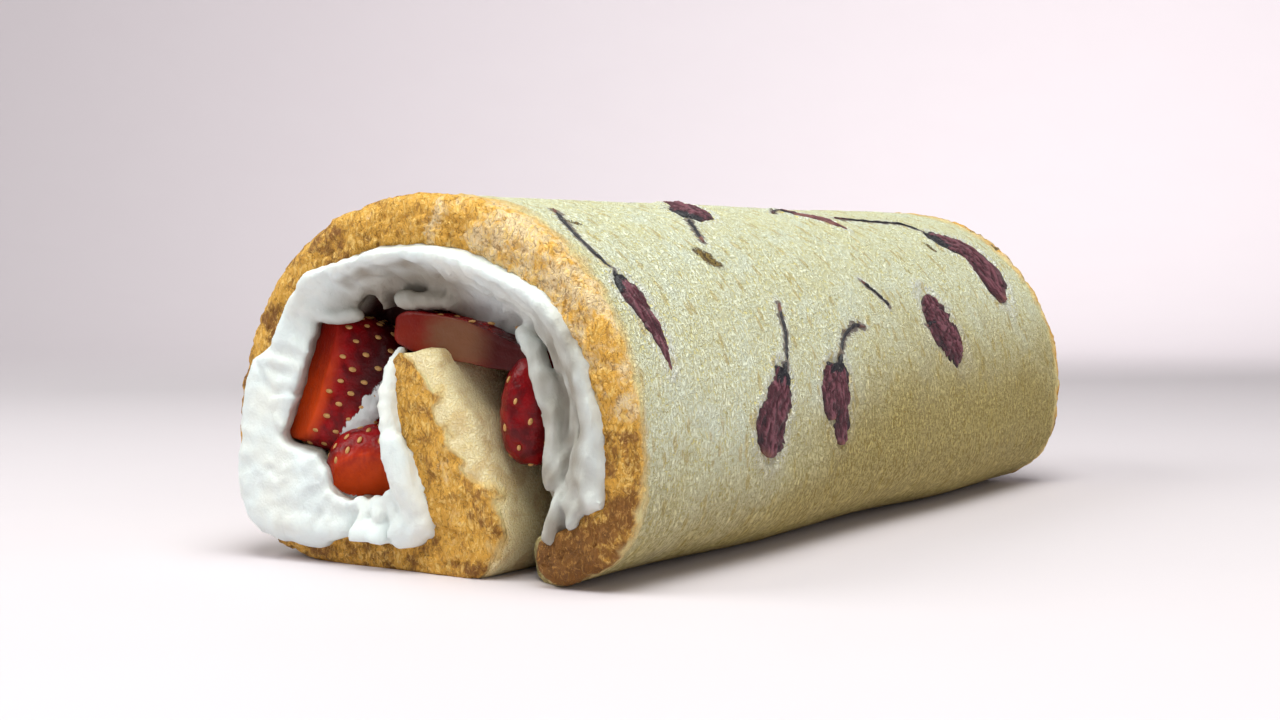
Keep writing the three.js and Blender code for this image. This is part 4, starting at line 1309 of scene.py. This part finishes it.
# Rolls and blobs of cream laid over that: places (x, z, depth) along each, its radius, and how softly it
# blends
ROLLS = (
    (((-14.8, 7.6, -1.6), (-10.8, 7.4, -1.6)), 4.4, 0.5),
    (((-2.6, 10.2, -0.4), (-5.0, 9.2, -0.4)), 4.4, 0.8),
    (((-23.4, 9.6, 0.0), (-26.0, 8.8, 0.0)), 4.4, 1.0),
    (((-32.5, 9.2, 0.4), (-36, 9, 0.4)), 4.9, 1.4),
    (((-42.0, 10.6, 0.4), (-46, 12.6, 0.6)), 5.4, 1.8),
    (((48.4, 20.6, 0.6), (48.2, 26, 0.9), (47.4, 33, 1.2)), 3.0, 1.2),
    (((37.8, 23, 1.4), (37.4, 15.5, 0.5), (36.4, 11.2, 0.2)), 1.5, 0.8),
    (((41.5, 24, 1.0), (41.8, 17.5, 0.6), (42.2, 15.4, 0.4)), 1.7, 1.0),
    (((24.0, 54.6, 9.0), (28.4, 50.5, 6.2), (31.8, 45.6, 4.6), (34.6, 38.4, 3.4), (35.8, 30.4, 2.6),
      (36.2, 22.6, 2.0)), 2.2, 1.8),
    (((45.2, 23, 1.6), (44.0, 32, 2.2), (41.4, 42, 3.6), (37.2, 50, 4.8), (31.5, 56.5, 5.4)), 1.7, 1.8),
    (((-8.8, 62.8, 6.2), (-4.0, 62.0, 7.4), (2.0, 62.0, 9.4)), 2.0, 2.0),
    (((-16.8, 15.0, -1.6), (-15.8, 11.5, -2.6)), 1.7, 0.6),
    (((-12.8, 15.2, -1.4), (-10.4, 12.6, -2.6)), 1.8, 0.6),
    (((-7.4, 16.8, -1.4), (-6.4, 13.2, -2.2)), 1.9, 0.8),
    (((-31.5, 58.6, 3.4), (-27, 58.2, 4.6), (-22.5, 58.7, 5.6)), 1.3, 0.6),
    (((-6.8, 50.6, 3.0), (-7.4, 46.5, 0.8)), 1.1, 1.2),
    (((-7.4, 46.5, 0.6), (-7.6, 42, -0.7), (-7.2, 37, -1.8), (-5.4, 30.5, -2.3)), 1.6, 1.2),
    (((-4.8, 29.5, -2.2), (-3.0, 23.5, -2.0), (-1.6, 17.5, -1.8), (0.0, 12.5, -1.6)), 2.9, 1.2),
)
# Creases pressed into it: places (x, z, depth) along each, its radius
CREASES = (
    (((-18.0, 3, -2.8), (-18.6, 8, -3.4), (-17.4, 12.8, -3.8)), 1.4),
    (((-7.0, 3, -3.2), (-6.3, 8.6, -3.8), (-7.8, 12.6, -4.4)), 1.1),
    (((-53, 15.2, -4.6), (-46, 13.8, -6.2), (-38, 13.5, -5.8), (-31, 12.4, -4.8)), 0.9),
    (((-27.6, 12, -4.2), (-29.4, 7, -4.8), (-29.8, 3.6, -4.0)), 1.1),
    (((-39.0, 10, -5.4), (-39.4, 5.4, -4.9)), 0.9),
    (((-47.5, 47, -4.0), (-43.4, 41, -4.0), (-43.0, 35, -4.6)), 0.9),
    (((-38.5, 58.5, -3.0), (-35.6, 55.5, -1.6), (-34.2, 51, -1.2)), 0.8),
    (((-24.8, 68, -2.2), (-26.4, 63.6, 2.0)), 0.8),
    (((39.6, 22, -0.6), (39.4, 31, 1.0), (38.4, 40, 3.0), (34.8, 48, 5.0)), 1.3),
    (((45.8, 24, -0.6), (44.9, 34, 0.0), (42.4, 43, 1.0), (38.6, 50.5, 2.4)), 1.0),
    (((-30.4, 26.6, -3.8), (-36, 21.6, -4.8), (-42, 19.6, -5.2)), 0.7),
)
# The hollows: how far they start inside their drawn edges, how deep they go at each end of the cake, and how
# fast and how far they widen to the left
HOLLOWS = (
    {"edge": LEFT_HOLLOW, "inset": 1.2, "depth": 21.0, "far_depth": 9.0, "spread": 0.62, "most": 8.0},
    {"edge": RIGHT_HOLLOW, "inset": 0.6, "depth": 38.0, "far_depth": 17.0, "spread": 0.4, "most": 4.0},
)
HOLLOW_LIP = 1.4  # softness of their rims
CREAM_BACK = 1.6  # how deep the lip reaches into the sheet's end
OVERLAP = 1.0  # and the filling into the sheet's inner side
CREAM_MIDDLE = (2.0, 39.0)
FILL_UP = 0.45  # how far up the tongue the filling's section is closed
BLUR_PASSES = 24  # over the waves of the sheet's end, which the cream follows softly
FIELD_REACH = 3.0  # signed distances are kept up to this
# The cream's colours besides those of its settings: painted shade in its ripples, and dark red deep inside
RIPPLE_SHADE = (0.68, 0.70, 0.68)
DEEP_SHADE_RED = (0.050, 0.010, 0.008)
GRID_STEP = 0.73  # of the section's grid
GRID_X = (-61.0, 57.0)
GRID_Z = (-0.5, 80.5)
# The grid's layers inwards from each end: from, to and step. Steps in the hidden middle: first, last, count
NEAR_LAYERS = ((-8, 10, GRID_STEP), (10, 27, 1.2))
FAR_LAYERS = ((-5, 8, 0.75), (8, 25, 1.7))
HIDDEN_STEPS = (2, 22, 8)
LAYERS_APART = 4  # where the layers from the two ends meet
FAR_ROLLS = ROLLS[3:11] + ROLLS[15:]  # the far end has fewer of them
FAR_OUT, FAR_IN = 0.62, 0.8  # how much flatter its relief is, outwards and inwards


def thin_plate(places, heights, x, z):
    """A smooth bending surface through the given heights, at (x, z)."""
    places, heights = np.array(places, float), np.array(heights, float)
    apart = np.linalg.norm(places[:, None] - places[None], axis=-1)
    count = len(places)
    corner = np.hstack([np.ones((count, 1)), places])
    system = np.zeros((count + 3, count + 3))
    system[:count, :count] = bend(apart) + 0.6 * np.eye(count)
    system[:count, count:] = corner
    system[count:, :count] = corner.T
    weights = np.linalg.solve(system, np.concatenate([heights, np.zeros(3)]))
    surface = weights[count] + weights[count + 1] * x + weights[count + 2] * z
    for weight, (px, pz) in zip(weights, places):
        surface = surface + weight * bend(np.hypot(x - px, z - pz))
    return surface


def bend(apart):
    """How a thin plate bends at a distance from a pull on it."""
    apart = np.maximum(apart, 1e-6)
    return apart ** 2 * np.log(apart) / 50


def soft_union(a, b, softness):
    """The nearer of two signed distances, blended where they meet."""
    share = np.clip(0.5 + 0.5 * (b - a) / softness, 0, 1)
    return mix(b, a, share) - softness * share * (1 - share)


def blurred(field):
    """A field of the section, softened."""
    for _ in range(BLUR_PASSES):
        wide = np.pad(field, 1, mode="edge")
        field = (wide[:-2, 1:-1] + wide[2:, 1:-1] + wide[1:-1, :-2] + wide[1:-1, 2:] + 2 * field) / 6
    return field


class CreamEnd:
    """The cream at one end: a signed distance over (x, depth, z), from shapes drawn in the section."""

    def __init__(self, spiral, x, z, far):
        self.far = far
        self.x, self.z = x, z
        self.gap, where = spiral.sheet_gap(x, z)
        self.back = blurred(spiral.end_wave(where, far))
        self.rolls = FAR_ROLLS if far else ROLLS
        turn_up = spiral.wall_length + FILL_UP * (spiral.total - spiral.wall_length)
        round_filling = np.linspace(0, turn_up, 240)
        self.loop = stacked(*(np.interp(round_filling, spiral.run, spiral.line[:, axis]) for axis in (0, 1)))

    def front(self):
        """The depth of the cream's surface over the section, before rolls and wrinkles."""
        places = [(px, pz) for px, pz, _ in RELIEF]
        heights = np.array([depth for _, _, depth in RELIEF])
        if self.far:
            heights = heights * np.where(heights < 0, FAR_OUT, FAR_IN)
        surface = thin_plate(places, heights, self.x, self.z)
        lip = polygon_distance(self.x, self.z, EDGE)
        radius = np.maximum(0.6 - surface, 1.2)
        surface = surface + rounding(np.clip(-lip, 0, None), radius) + 3 * smooth(lip, 0.2, 2.0)
        self.rim = 1 - smooth(-lip, 0.5, 4.5)
        return surface, lip

    def carve(self, front, depth, hollow):
        """Takes a hollow out of the cream. It widens to the left as it goes in."""
        inner = polygon_distance(self.x, self.z, hollow["edge"]) + hollow["inset"]
        for layer, deep in enumerate(depth):
            widened = min(hollow["most"], hollow["spread"] * max(0, deep + 3.5))
            shift = int(round(widened / GRID_STEP))
            shape = np.minimum(inner, np.vstack([inner[shift:], np.repeat(inner[-1:], shift, axis=0)]))
            shape = np.maximum(shape, (deep - hollow["far_depth" if self.far else "depth"]) * 0.7)
            front[:, layer] = -soft_union(-front[:, layer], shape, HOLLOW_LIP)

    def field(self, depth):
        """Signed distance at each place of the section for each depth, below 0 in the cream."""
        surface, lip = self.front()
        slope = np.hypot(*np.gradient(surface, GRID_STEP))
        steep = np.sqrt(1 + np.minimum(slope, 3.0) ** 2)
        shape = (len(self.x), len(depth), self.x.shape[1])
        deep = np.broadcast_to(depth[None, :, None], shape) - self.back[:, None, :]
        front = (surface[:, None, :] - deep) / steep[:, None, :]
        for hollow in HOLLOWS:
            self.carve(front, depth, hollow)
        for places, radius, softness in self.rolls:
            self.lay(front, deep, depth, places, radius, softness)
        for places, radius in CREASES:
            self.lay(front, deep, depth, places, radius, 0.8, press=True)
        in_section = np.broadcast_to((self.gap_inside() - OVERLAP)[:, None, :], shape)
        on_end = np.maximum(lip[:, None, :], deep - CREAM_BACK)
        field = np.maximum(front, np.minimum(in_section, on_end))
        return field, deep

    def gap_inside(self):
        """Distance outside the filling's section: over 0 in the sheet and out past it."""
        inner = polygon_distance(self.x, self.z, self.loop)
        return np.maximum(inner, -self.gap)

    def lay(self, field, deep, depth, places, radius, softness, press=False):
        """Adds a roll of cream along places, or presses one in, where it reaches in the grid."""
        places = np.array(places if len(places) > 1 else [places[0], places[0]], float)
        margin = radius + softness + 2
        low, high = places.min(axis=0) - margin, places.max(axis=0) + margin
        columns = np.flatnonzero((self.x[:, 0] > low[0]) & (self.x[:, 0] < high[0]))
        levels = np.flatnonzero((self.z[0] > low[1]) & (self.z[0] < high[1]))
        layers = np.flatnonzero((depth > low[2] - 3) & (depth < high[2] + 3))
        if not (len(columns) and len(levels) and len(layers)):
            return
        part = tuple(slice(found[0], found[-1] + 1) for found in (columns, layers, levels))
        px = self.x[part[0], None, part[2]]
        pz = self.z[part[0], None, part[2]]
        pd = deep[part]
        nearest = np.full(pd.shape, OUT_OF_REACH)
        for a, b in zip(places[:-1], places[1:]):
            way = b - a
            along = (px - a[0]) * way[0] + (pz - a[1]) * way[1] + (pd - a[2]) * way[2]
            along = np.clip(along / max(way @ way, 1e-6), 0, 1)
            away = (px - a[0] - along * way[0]) ** 2 + (pz - a[1] - along * way[1]) ** 2
            nearest = np.minimum(nearest, np.sqrt(away + (pd - a[2] - along * way[2]) ** 2))
        if press:
            field[part] = -soft_union(-field[part], nearest - radius, softness)
        else:
            field[part] = soft_union(field[part], nearest - radius, softness)


def end_layers(spans):
    """Depths of the grid's layers at one end: close there, and wide in the hidden middle."""
    hidden = spans[-1][1] + np.cumsum(np.linspace(*HIDDEN_STEPS))
    return np.concatenate([np.arange(*span) for span in spans] + [hidden])


def cream_layers(spiral):
    """Distances from the show end of all the grid's layers."""
    near, far = end_layers(NEAR_LAYERS), end_layers(FAR_LAYERS)
    near = near[near < spiral.length / 2]
    far = spiral.length - far[far < spiral.length / 2 - LAYERS_APART]
    return np.concatenate([near, far[::-1]])


def wrinkle(field, places, deep, rim):
    """Wrinkles and ripples of the cream, laid over its field near its surface."""
    close = np.abs(field) < 2.5
    at, inward = places[close], deep[close]
    warp = swirls(at / 9, 140)
    x, z = at[:, 0] - CREAM_MIDDLE[0], at[:, 2] - CREAM_MIDDLE[1]
    arc, radius = np.arctan2(z, x) * 45, np.hypot(x, z)
    across = noise(np.column_stack([arc / 3.4, radius / 8, inward / 8]) + 0.5 * warp, 150)
    lengthwise = noise(np.column_stack([radius / 2.4, arc / 18, inward / 6]) + 0.35 * warp, 152)
    calm_rim = 1 - 0.7 * np.broadcast_to(rim, field.shape)[close]
    streaks = mix(across * calm_rim, lengthwise, smooth(x, 14, 34))
    folds = ridges(at / np.array([7.5, 8, 8.0]) + 0.6 * warp, 155)
    small = noise(at / 1.8 + 0.4 * warp, 160)
    raised = np.maximum(smooth(at[:, 2], 30, 48) * 0.4 + 0.6, 1.5 * smooth(x, 20, 34))
    calm = smooth(inward, 14, 5) * 0.6 + 0.4
    field[close] -= calm * (0.85 * raised * streaks + 0.45 * folds + 0.10 * small)


def cream_field(spiral, layers):
    """Signed distance to the cream's surface over the grid: across, through the layers, and up."""
    x, z = np.meshgrid(np.arange(*GRID_X, GRID_STEP), np.arange(*GRID_Z, GRID_STEP), indexing="ij")
    half = np.searchsorted(layers, spiral.length / 2)
    parts = []
    for far, depth in ((False, layers[:half]), (True, spiral.length - layers[half:])):
        end = CreamEnd(spiral, x, z, far)
        field, deep = end.field(depth)
        y = SHOW_END + (spiral.length - depth if far else depth)
        places = stacked(x[:, None, :], y[None, :, None], z[:, None, :])
        wrinkle(field, places, deep, end.rim[:, None, :])
        parts.append(field)
    field = np.concatenate(parts, axis=1)
    field[:, :, 0] = np.maximum(field[:, :, 0], 0.3)
    return field


def cream_masks(spiral, points):
    """Painted shade: grey under what hangs over the cream and on its right lip, dark red deep inside."""
    across, y, height = points.T
    inward = np.minimum(y - SHOW_END, SHOW_END + spiral.length - y)
    patchy = 0.85 + 0.45 * noise(points / 4.5, 172)
    # Painted shade: on the right lip, under the arch and deeper in, less where the hollow opens up
    right = smooth(across, 16, 38) * smooth(height, 66, 54) * (1 - 0.5 * smooth(across, 44.5, 49))
    arch = smooth(across, -27, -20) * smooth(across, 5, -2)
    arch = arch * smooth(height, 55, 65) * smooth(inward, -2.9, -1.0)
    open_side = smooth(height, 42, 54) * smooth(across, 4, 14)
    deep = smooth(inward, -2.0, 5.5) * (1 - 0.8 * open_side)
    shade = np.maximum(deep, np.maximum(0.95 * right, 0.9 * arch) * patchy)
    # Painted shade, dark red, on the cream deeper than 8 to 15 millimetres from either end
    deep_shade = smooth(inward + 1.5 * noise(points / 5, 170), 8, 15)
    return {"shade": np.clip(shade, 0, 1), "deep_shade": deep_shade}


def make_cream(spiral, looks):
    """The filling, one piece from end to end, with the lips that spread over the sheet's two ends."""
    layers = cream_layers(spiral)
    steps, fours, threes = surface_of(cream_field(spiral, layers))
    x = GRID_X[0] + steps[:, 0] * GRID_STEP
    y = SHOW_END + np.interp(steps[:, 1], np.arange(len(layers)), layers)
    points = stacked(x, y, spiral.settle(GRID_Z[0] + steps[:, 2] * GRID_STEP, y))
    groups = faces_outward(points, [fours, threes] if len(threes) else [fours])
    faces = [face for group in groups for face in group.tolist()]
    masks = cream_masks(spiral, points)
    make_piece("cream", points, faces, [cream_paint(looks)], ["cream"], masks)


def largest_part(count, pairs):
    """Which of `count` points belong to the largest group that pairs of neighbours hold together."""
    group = np.arange(count)
    while True:
        least = np.minimum(group[pairs[:, 0]], group[pairs[:, 1]])
        before = group.copy()
        np.minimum.at(group, pairs[:, 0], least)
        np.minimum.at(group, pairs[:, 1], least)
        group = group[group]
        if np.array_equal(before, group):
            return group == np.bincount(group).argmax()


def surface_of(field):
    """The surface where a field passes 0, as points in grid steps and faces, without any loose scrap."""
    grid = openvdb.FloatGrid(FIELD_REACH)
    field = np.clip(field, -FIELD_REACH, FIELD_REACH)
    grid.copyFromArray(np.ascontiguousarray(field, dtype=np.float32))
    points, threes, fours = grid.convertToPolygons(isovalue=0.0, adaptivity=0.0)
    fours, threes = np.asarray(fours, np.int64), np.asarray(threes, np.int64).reshape(-1, 3)
    sides = [fours[:, at:at + 2] for at in range(3)] + [threes[:, at:at + 2] for at in range(2)]
    kept = largest_part(len(points), np.vstack(sides))
    number = np.cumsum(kept) - 1
    fours = number[fours[kept[fours[:, 0]]]]
    threes = number[threes[kept[threes[:, 0]]]] if len(threes) else threes
    return np.asarray(points, float)[kept], fours, threes


def cream_paint(looks):
    """Whipped cream: soft white with faint warm clouds and fine ripples, and grey and dark red painted
    shade.
    """
    paint = Paint("cream")
    where = paint.spot()
    clouds = paint.noise(where, 11, 3)
    ripples = paint.noise(paint.spot((1, 1, 0.5)), 2.2, 4, 0.55, 0.8)
    fine = paint.noise(where, 0.6, 3)
    colour = paint.blend(clouds.step(0.35, 0.7), looks.cream, looks.warm)
    colour = paint.blend(ripples.step(0.5, 0.3) * 0.25, colour, RIPPLE_SHADE)
    # Painted shade over the hollows, under the arch and on the right lip
    colour = paint.blend(paint.mask("shade"), colour, looks.shade)
    # Painted shade, dark red, deep inside the roll
    colour = paint.blend(paint.mask("deep_shade"), colour, DEEP_SHADE_RED)
    return paint.finish(
        Base_Color=colour,
        Roughness=0.42 + fine * 0.16,
        Normal=paint.bump(ripples * 0.75 + fine * 0.25, 0.45),
        Subsurface_Weight=0.12,
        Subsurface_Radius=(1.0, 0.85, 0.7),
        Subsurface_Scale=0.002,
        Specular_IOR_Level=0.4,
    )


# ---------------------------------------------------------------- stage
CAMERA_AT = (0.26332, -0.43355, 0.06871)
CAMERA_DOWN = 2.83  # degrees below level
CAMERA_TURN = 33.38  # degrees to the left of +Y
CAMERA_LENS = 50.0
CAMERA_REACH = 20.0  # how far it sees, in metres
STAGE_FLAT = 1.1  # radius of the flat part of the floor, in metres
STAGE_CURVE = 1.2  # radius of the sweep up round it
STAGE_STEPS = (12, 24, 96)  # on the flat part, on the sweep, and round
FLOOR_MOTTLE = (0.8, 0.78, 0.79)
SKY = (0.96, 1.0, 0.99, 1.0)  # the even light all round
# Soft lights: name, place, what they face, width, height, power in watts, colour
LIGHTS = (
    ("key", (-0.7, -0.68, 0.85), (0, -0.05, 0.04), 0.7, 0.7, 8.4, (0.965, 1.0, 0.975)),
    ("top", (0.25, -0.25, 1.1), (0, -0.05, 0.04), 0.8, 0.8, 15.5, (0.97, 1.0, 0.965)),
    ("side", (1.0, -0.7, 0.45), (0, 0, 0.04), 0.8, 0.6, 2.6, (0.97, 1.0, 0.98)),
    ("back", (-0.2, 1.0, 1.0), (-1.3, 2.2, 0.5), 1.0, 0.8, 17.0, (1.0, 0.99, 0.99)),
)


def stage_paint(looks):
    """A plain pale floor with the faintest mottle."""
    paint = Paint("floor")
    mottle = paint.noise(paint.spot(), 60, 2)
    colour = paint.blend(mottle * 0.08, looks.floor, FLOOR_MOTTLE)
    return paint.finish(Base_Color=colour, Roughness=0.65 + mottle * 0.05, Specular_IOR_Level=0.2)


def make_floor(looks):
    """A round floor that sweeps up at its edge."""
    on_flat, on_sweep, around = STAGE_STEPS
    flat = np.linspace(0, STAGE_FLAT, on_flat)[1:]
    turn = np.linspace(0, math.pi / 2, on_sweep)[1:]
    radius = np.concatenate([flat, STAGE_FLAT + STAGE_CURVE * np.sin(turn)])
    rise = np.concatenate([0 * flat, STAGE_CURVE * (1 - np.cos(turn))])
    angle = np.linspace(0, 2 * math.pi, around, endpoint=False)
    radius, rise = radius[:, None], rise[:, None]
    ring = stacked(radius * np.cos(angle), radius * np.sin(angle), rise)
    ids = np.arange(ring.shape[0] * ring.shape[1]).reshape(ring.shape[:2])
    looped = np.hstack([ids, ids[:, :1]])
    faces = grid_faces(looped).tolist() + [list(ids[0])]
    mesh = bpy.data.meshes.new("floor")
    mesh.from_pydata(ring.reshape(-1, 3), [], faces)
    mesh.shade_smooth()
    mesh.materials.append(stage_paint(looks))
    floor = bpy.data.objects.new("floor", mesh)
    bpy.context.scene.collection.objects.link(floor)


def make_light(name, at, aim, wide, high, power, colour, strength):
    """A soft rectangular light that faces `aim`."""
    light = bpy.data.lights.new(name, "AREA")
    light.shape = "RECTANGLE"
    light.size, light.size_y = wide, high
    light.energy = power * strength
    light.color = colour
    holder = bpy.data.objects.new(name, light)
    holder.location = at
    bpy.context.scene.collection.objects.link(holder)
    holder.rotation_euler = (Vector(aim) - Vector(at)).to_track_quat("-Z", "Y").to_euler()


def make_stage(looks):
    """Floor, lights, the world's even light, and the camera."""
    make_floor(looks)
    for light in LIGHTS:
        make_light(*light, looks.strength)
    scene = bpy.context.scene
    world = bpy.data.worlds.new("studio")
    scene.world = world
    world.use_nodes = True
    background = world.node_tree.nodes["Background"]
    background.inputs["Color"].default_value = SKY
    background.inputs["Strength"].default_value = looks.even
    camera = bpy.data.cameras.new("camera")
    camera.lens = CAMERA_LENS
    camera.clip_end = CAMERA_REACH
    holder = bpy.data.objects.new("camera", camera)
    holder.location = CAMERA_AT
    holder.rotation_euler = (math.radians(90 - CAMERA_DOWN), 0, math.radians(CAMERA_TURN))
    scene.collection.objects.link(holder)
    scene.camera = holder
    scene.view_settings.view_transform = "Standard"


# ---------------------------------------------------------------- settings
def colour_setting(name, description, default):
    """A colour that can be chosen in the panel."""
    return FloatVectorProperty(name=name, description=description, default=default, size=3, min=0, max=1,
                               subtype="COLOR")


def size_setting(name, description, default):
    """A length in metres that can be chosen in the panel."""
    return FloatProperty(name=name, description=description, default=default, min=0, unit="LENGTH",
                         subtype="DISTANCE")


def strength_setting(name, description, default):
    """The strength of a light, which can be chosen in the panel."""
    return FloatProperty(name=name, description=description, default=default, min=0)


class RollSize(bpy.types.PropertyGroup):
    length: size_setting("Length", "Length of the sponge", 0.254)
    width: size_setting("Width", "Width over the widest level", 0.117)
    height: size_setting("Height", "Height at the show end", 0.0865)
    sheet: size_setting("Sheet", "Thickness of the sponge sheet", 0.012)


class SpongeLooks(bpy.types.PropertyGroup):
    skin: colour_setting("Skin", "Pale strands of the skin", (0.945, 0.96, 0.71))
    gap: colour_setting("Grain", "Between the strands of the skin", (0.74, 0.67, 0.28))
    # Low on the flanks: partly the skin's own browning, partly painted shade
    tan: colour_setting("Tan", "The skin low on the flanks", (0.32, 0.215, 0.042))
    crust: colour_setting("Crust", "Golden crust of the ends", (0.80, 0.42, 0.062))
    dark_crust: colour_setting("Dark crust", "The darkest crust of the ends", (0.27, 0.11, 0.018))


class CreamLooks(bpy.types.PropertyGroup):
    cream: colour_setting("Cream", "Colour of the cream", (0.745, 0.815, 0.805))
    warm: colour_setting("Warm cream", "Colour of its faint clouds", (0.78, 0.81, 0.76))
    # The colour of the painted shade over the cream's hollows, under its arch and on its right lip
    shade: colour_setting("Hollow cream", "Colour of the cream in its hollows", (0.32, 0.295, 0.245))


class FruitLooks(bpy.types.PropertyGroup):
    skin: colour_setting("Skin", "Strawberry skin", (0.31, 0.005, 0.008))
    flesh: colour_setting("Flesh", "Cut flesh near the skin", (0.68, 0.068, 0.008))
    core: colour_setting("Core", "Cut flesh at the middle", (0.175, 0.072, 0.035))
    seed: colour_setting("Seed", "Seeds", (0.60, 0.33, 0.11))


class BlossomLooks(bpy.types.PropertyGroup):
    petal: colour_setting("Petal", "Dried petals", (0.064, 0.013, 0.021))
    # The next two: a painted highlight on the raised folds, and painted shade in the creases between them
    fold_highlight: colour_setting("Fold", "Their lighter folds", (0.19, 0.062, 0.082))
    deep: colour_setting("Crease", "Between their folds", (0.020, 0.006, 0.010))
    stem: colour_setting("Stem", "Stems and dark blots", (0.013, 0.011, 0.016))


class StageLooks(bpy.types.PropertyGroup):
    floor: colour_setting("Floor", "Colour of the floor", (0.66, 0.60, 0.63))
    strength: strength_setting("Lights", "Strength of the soft lights", 1.0)
    even: strength_setting("Even light", "Strength of the even light all round", 0.17)


# ---------------------------------------------------------------- operators
class MakeSponge(bpy.types.Operator):
    """Makes the sponge sheet, from its foot to the tip of its tongue"""

    bl_idname = "cake.make_sponge"
    bl_label = "Sponge"

    def execute(self, context):
        make_sponge(Spiral(context.scene.cake_size), context.scene.cake_sponge)
        return {"FINISHED"}


class MakeCream(bpy.types.Operator):
    """Makes the whipped cream filling and its lips at both ends"""

    bl_idname = "cake.make_cream"
    bl_label = "Cream"

    def execute(self, context):
        make_cream(Spiral(context.scene.cake_size), context.scene.cake_cream)
        return {"FINISHED"}


class MakeStrawberries(bpy.types.Operator):
    """Makes the cut strawberries that show at the ends"""

    bl_idname = "cake.make_strawberries"
    bl_label = "Strawberries"

    def execute(self, context):
        make_strawberries(Spiral(context.scene.cake_size), context.scene.cake_fruit)
        return {"FINISHED"}


class MakeBlossoms(bpy.types.Operator):
    """Makes the salted blossoms and their stems on the skin"""

    bl_idname = "cake.make_blossoms"
    bl_label = "Blossoms"

    def execute(self, context):
        make_blossoms(Spiral(context.scene.cake_size), context.scene.cake_blossom)
        return {"FINISHED"}


class MakeStage(bpy.types.Operator):
    """Makes the floor, the soft lights and the camera"""

    bl_idname = "cake.make_stage"
    bl_label = "Stage"

    def execute(self, context):
        make_stage(context.scene.cake_stage)
        return {"FINISHED"}


class CakePanel(bpy.types.Panel):
    """Lists the cake's sizes, colours and makers"""

    bl_idname = "VIEW3D_PT_cake"
    bl_label = "Swiss roll cake"
    bl_space_type = "VIEW_3D"
    bl_region_type = "UI"
    bl_category = "Cake"

    def draw(self, context):
        for group, _, operator in GROUPS:
            box = self.layout.box()
            settings = getattr(context.scene, group)
            for name in type(settings).__annotations__:
                box.prop(settings, name)
            if operator is not None:
                box.operator(operator.bl_idname)


# The groups of settings in the scene: name, kind, and the operator that uses them
GROUPS = (
    ("cake_size", RollSize, None),
    ("cake_sponge", SpongeLooks, MakeSponge),
    ("cake_cream", CreamLooks, MakeCream),
    ("cake_fruit", FruitLooks, MakeStrawberries),
    ("cake_blossom", BlossomLooks, MakeBlossoms),
    ("cake_stage", StageLooks, MakeStage),
)
SETTINGS = {name: kind for name, kind, _ in GROUPS}
OPERATORS = [operator for _, _, operator in GROUPS if operator is not None]
KINDS = (*SETTINGS.values(), *OPERATORS, CakePanel)


def register():
    """Makes the settings, the operators and the panel known to Blender."""
    for kind in KINDS:
        bpy.utils.register_class(kind)
    for name, kind in SETTINGS.items():
        setattr(bpy.types.Scene, name, PointerProperty(type=kind))


def unregister():
    """Takes them away again."""
    for name in SETTINGS:
        delattr(bpy.types.Scene, name)
    for kind in reversed(KINDS):
        bpy.utils.unregister_class(kind)


def main():
    """Makes the whole cake on its stage."""
    register()
    bpy.ops.cake.make_stage()
    bpy.ops.cake.make_sponge()
    bpy.ops.cake.make_cream()
    bpy.ops.cake.make_strawberries()
    bpy.ops.cake.make_blossoms()


if __name__ == "__main__":
    main()
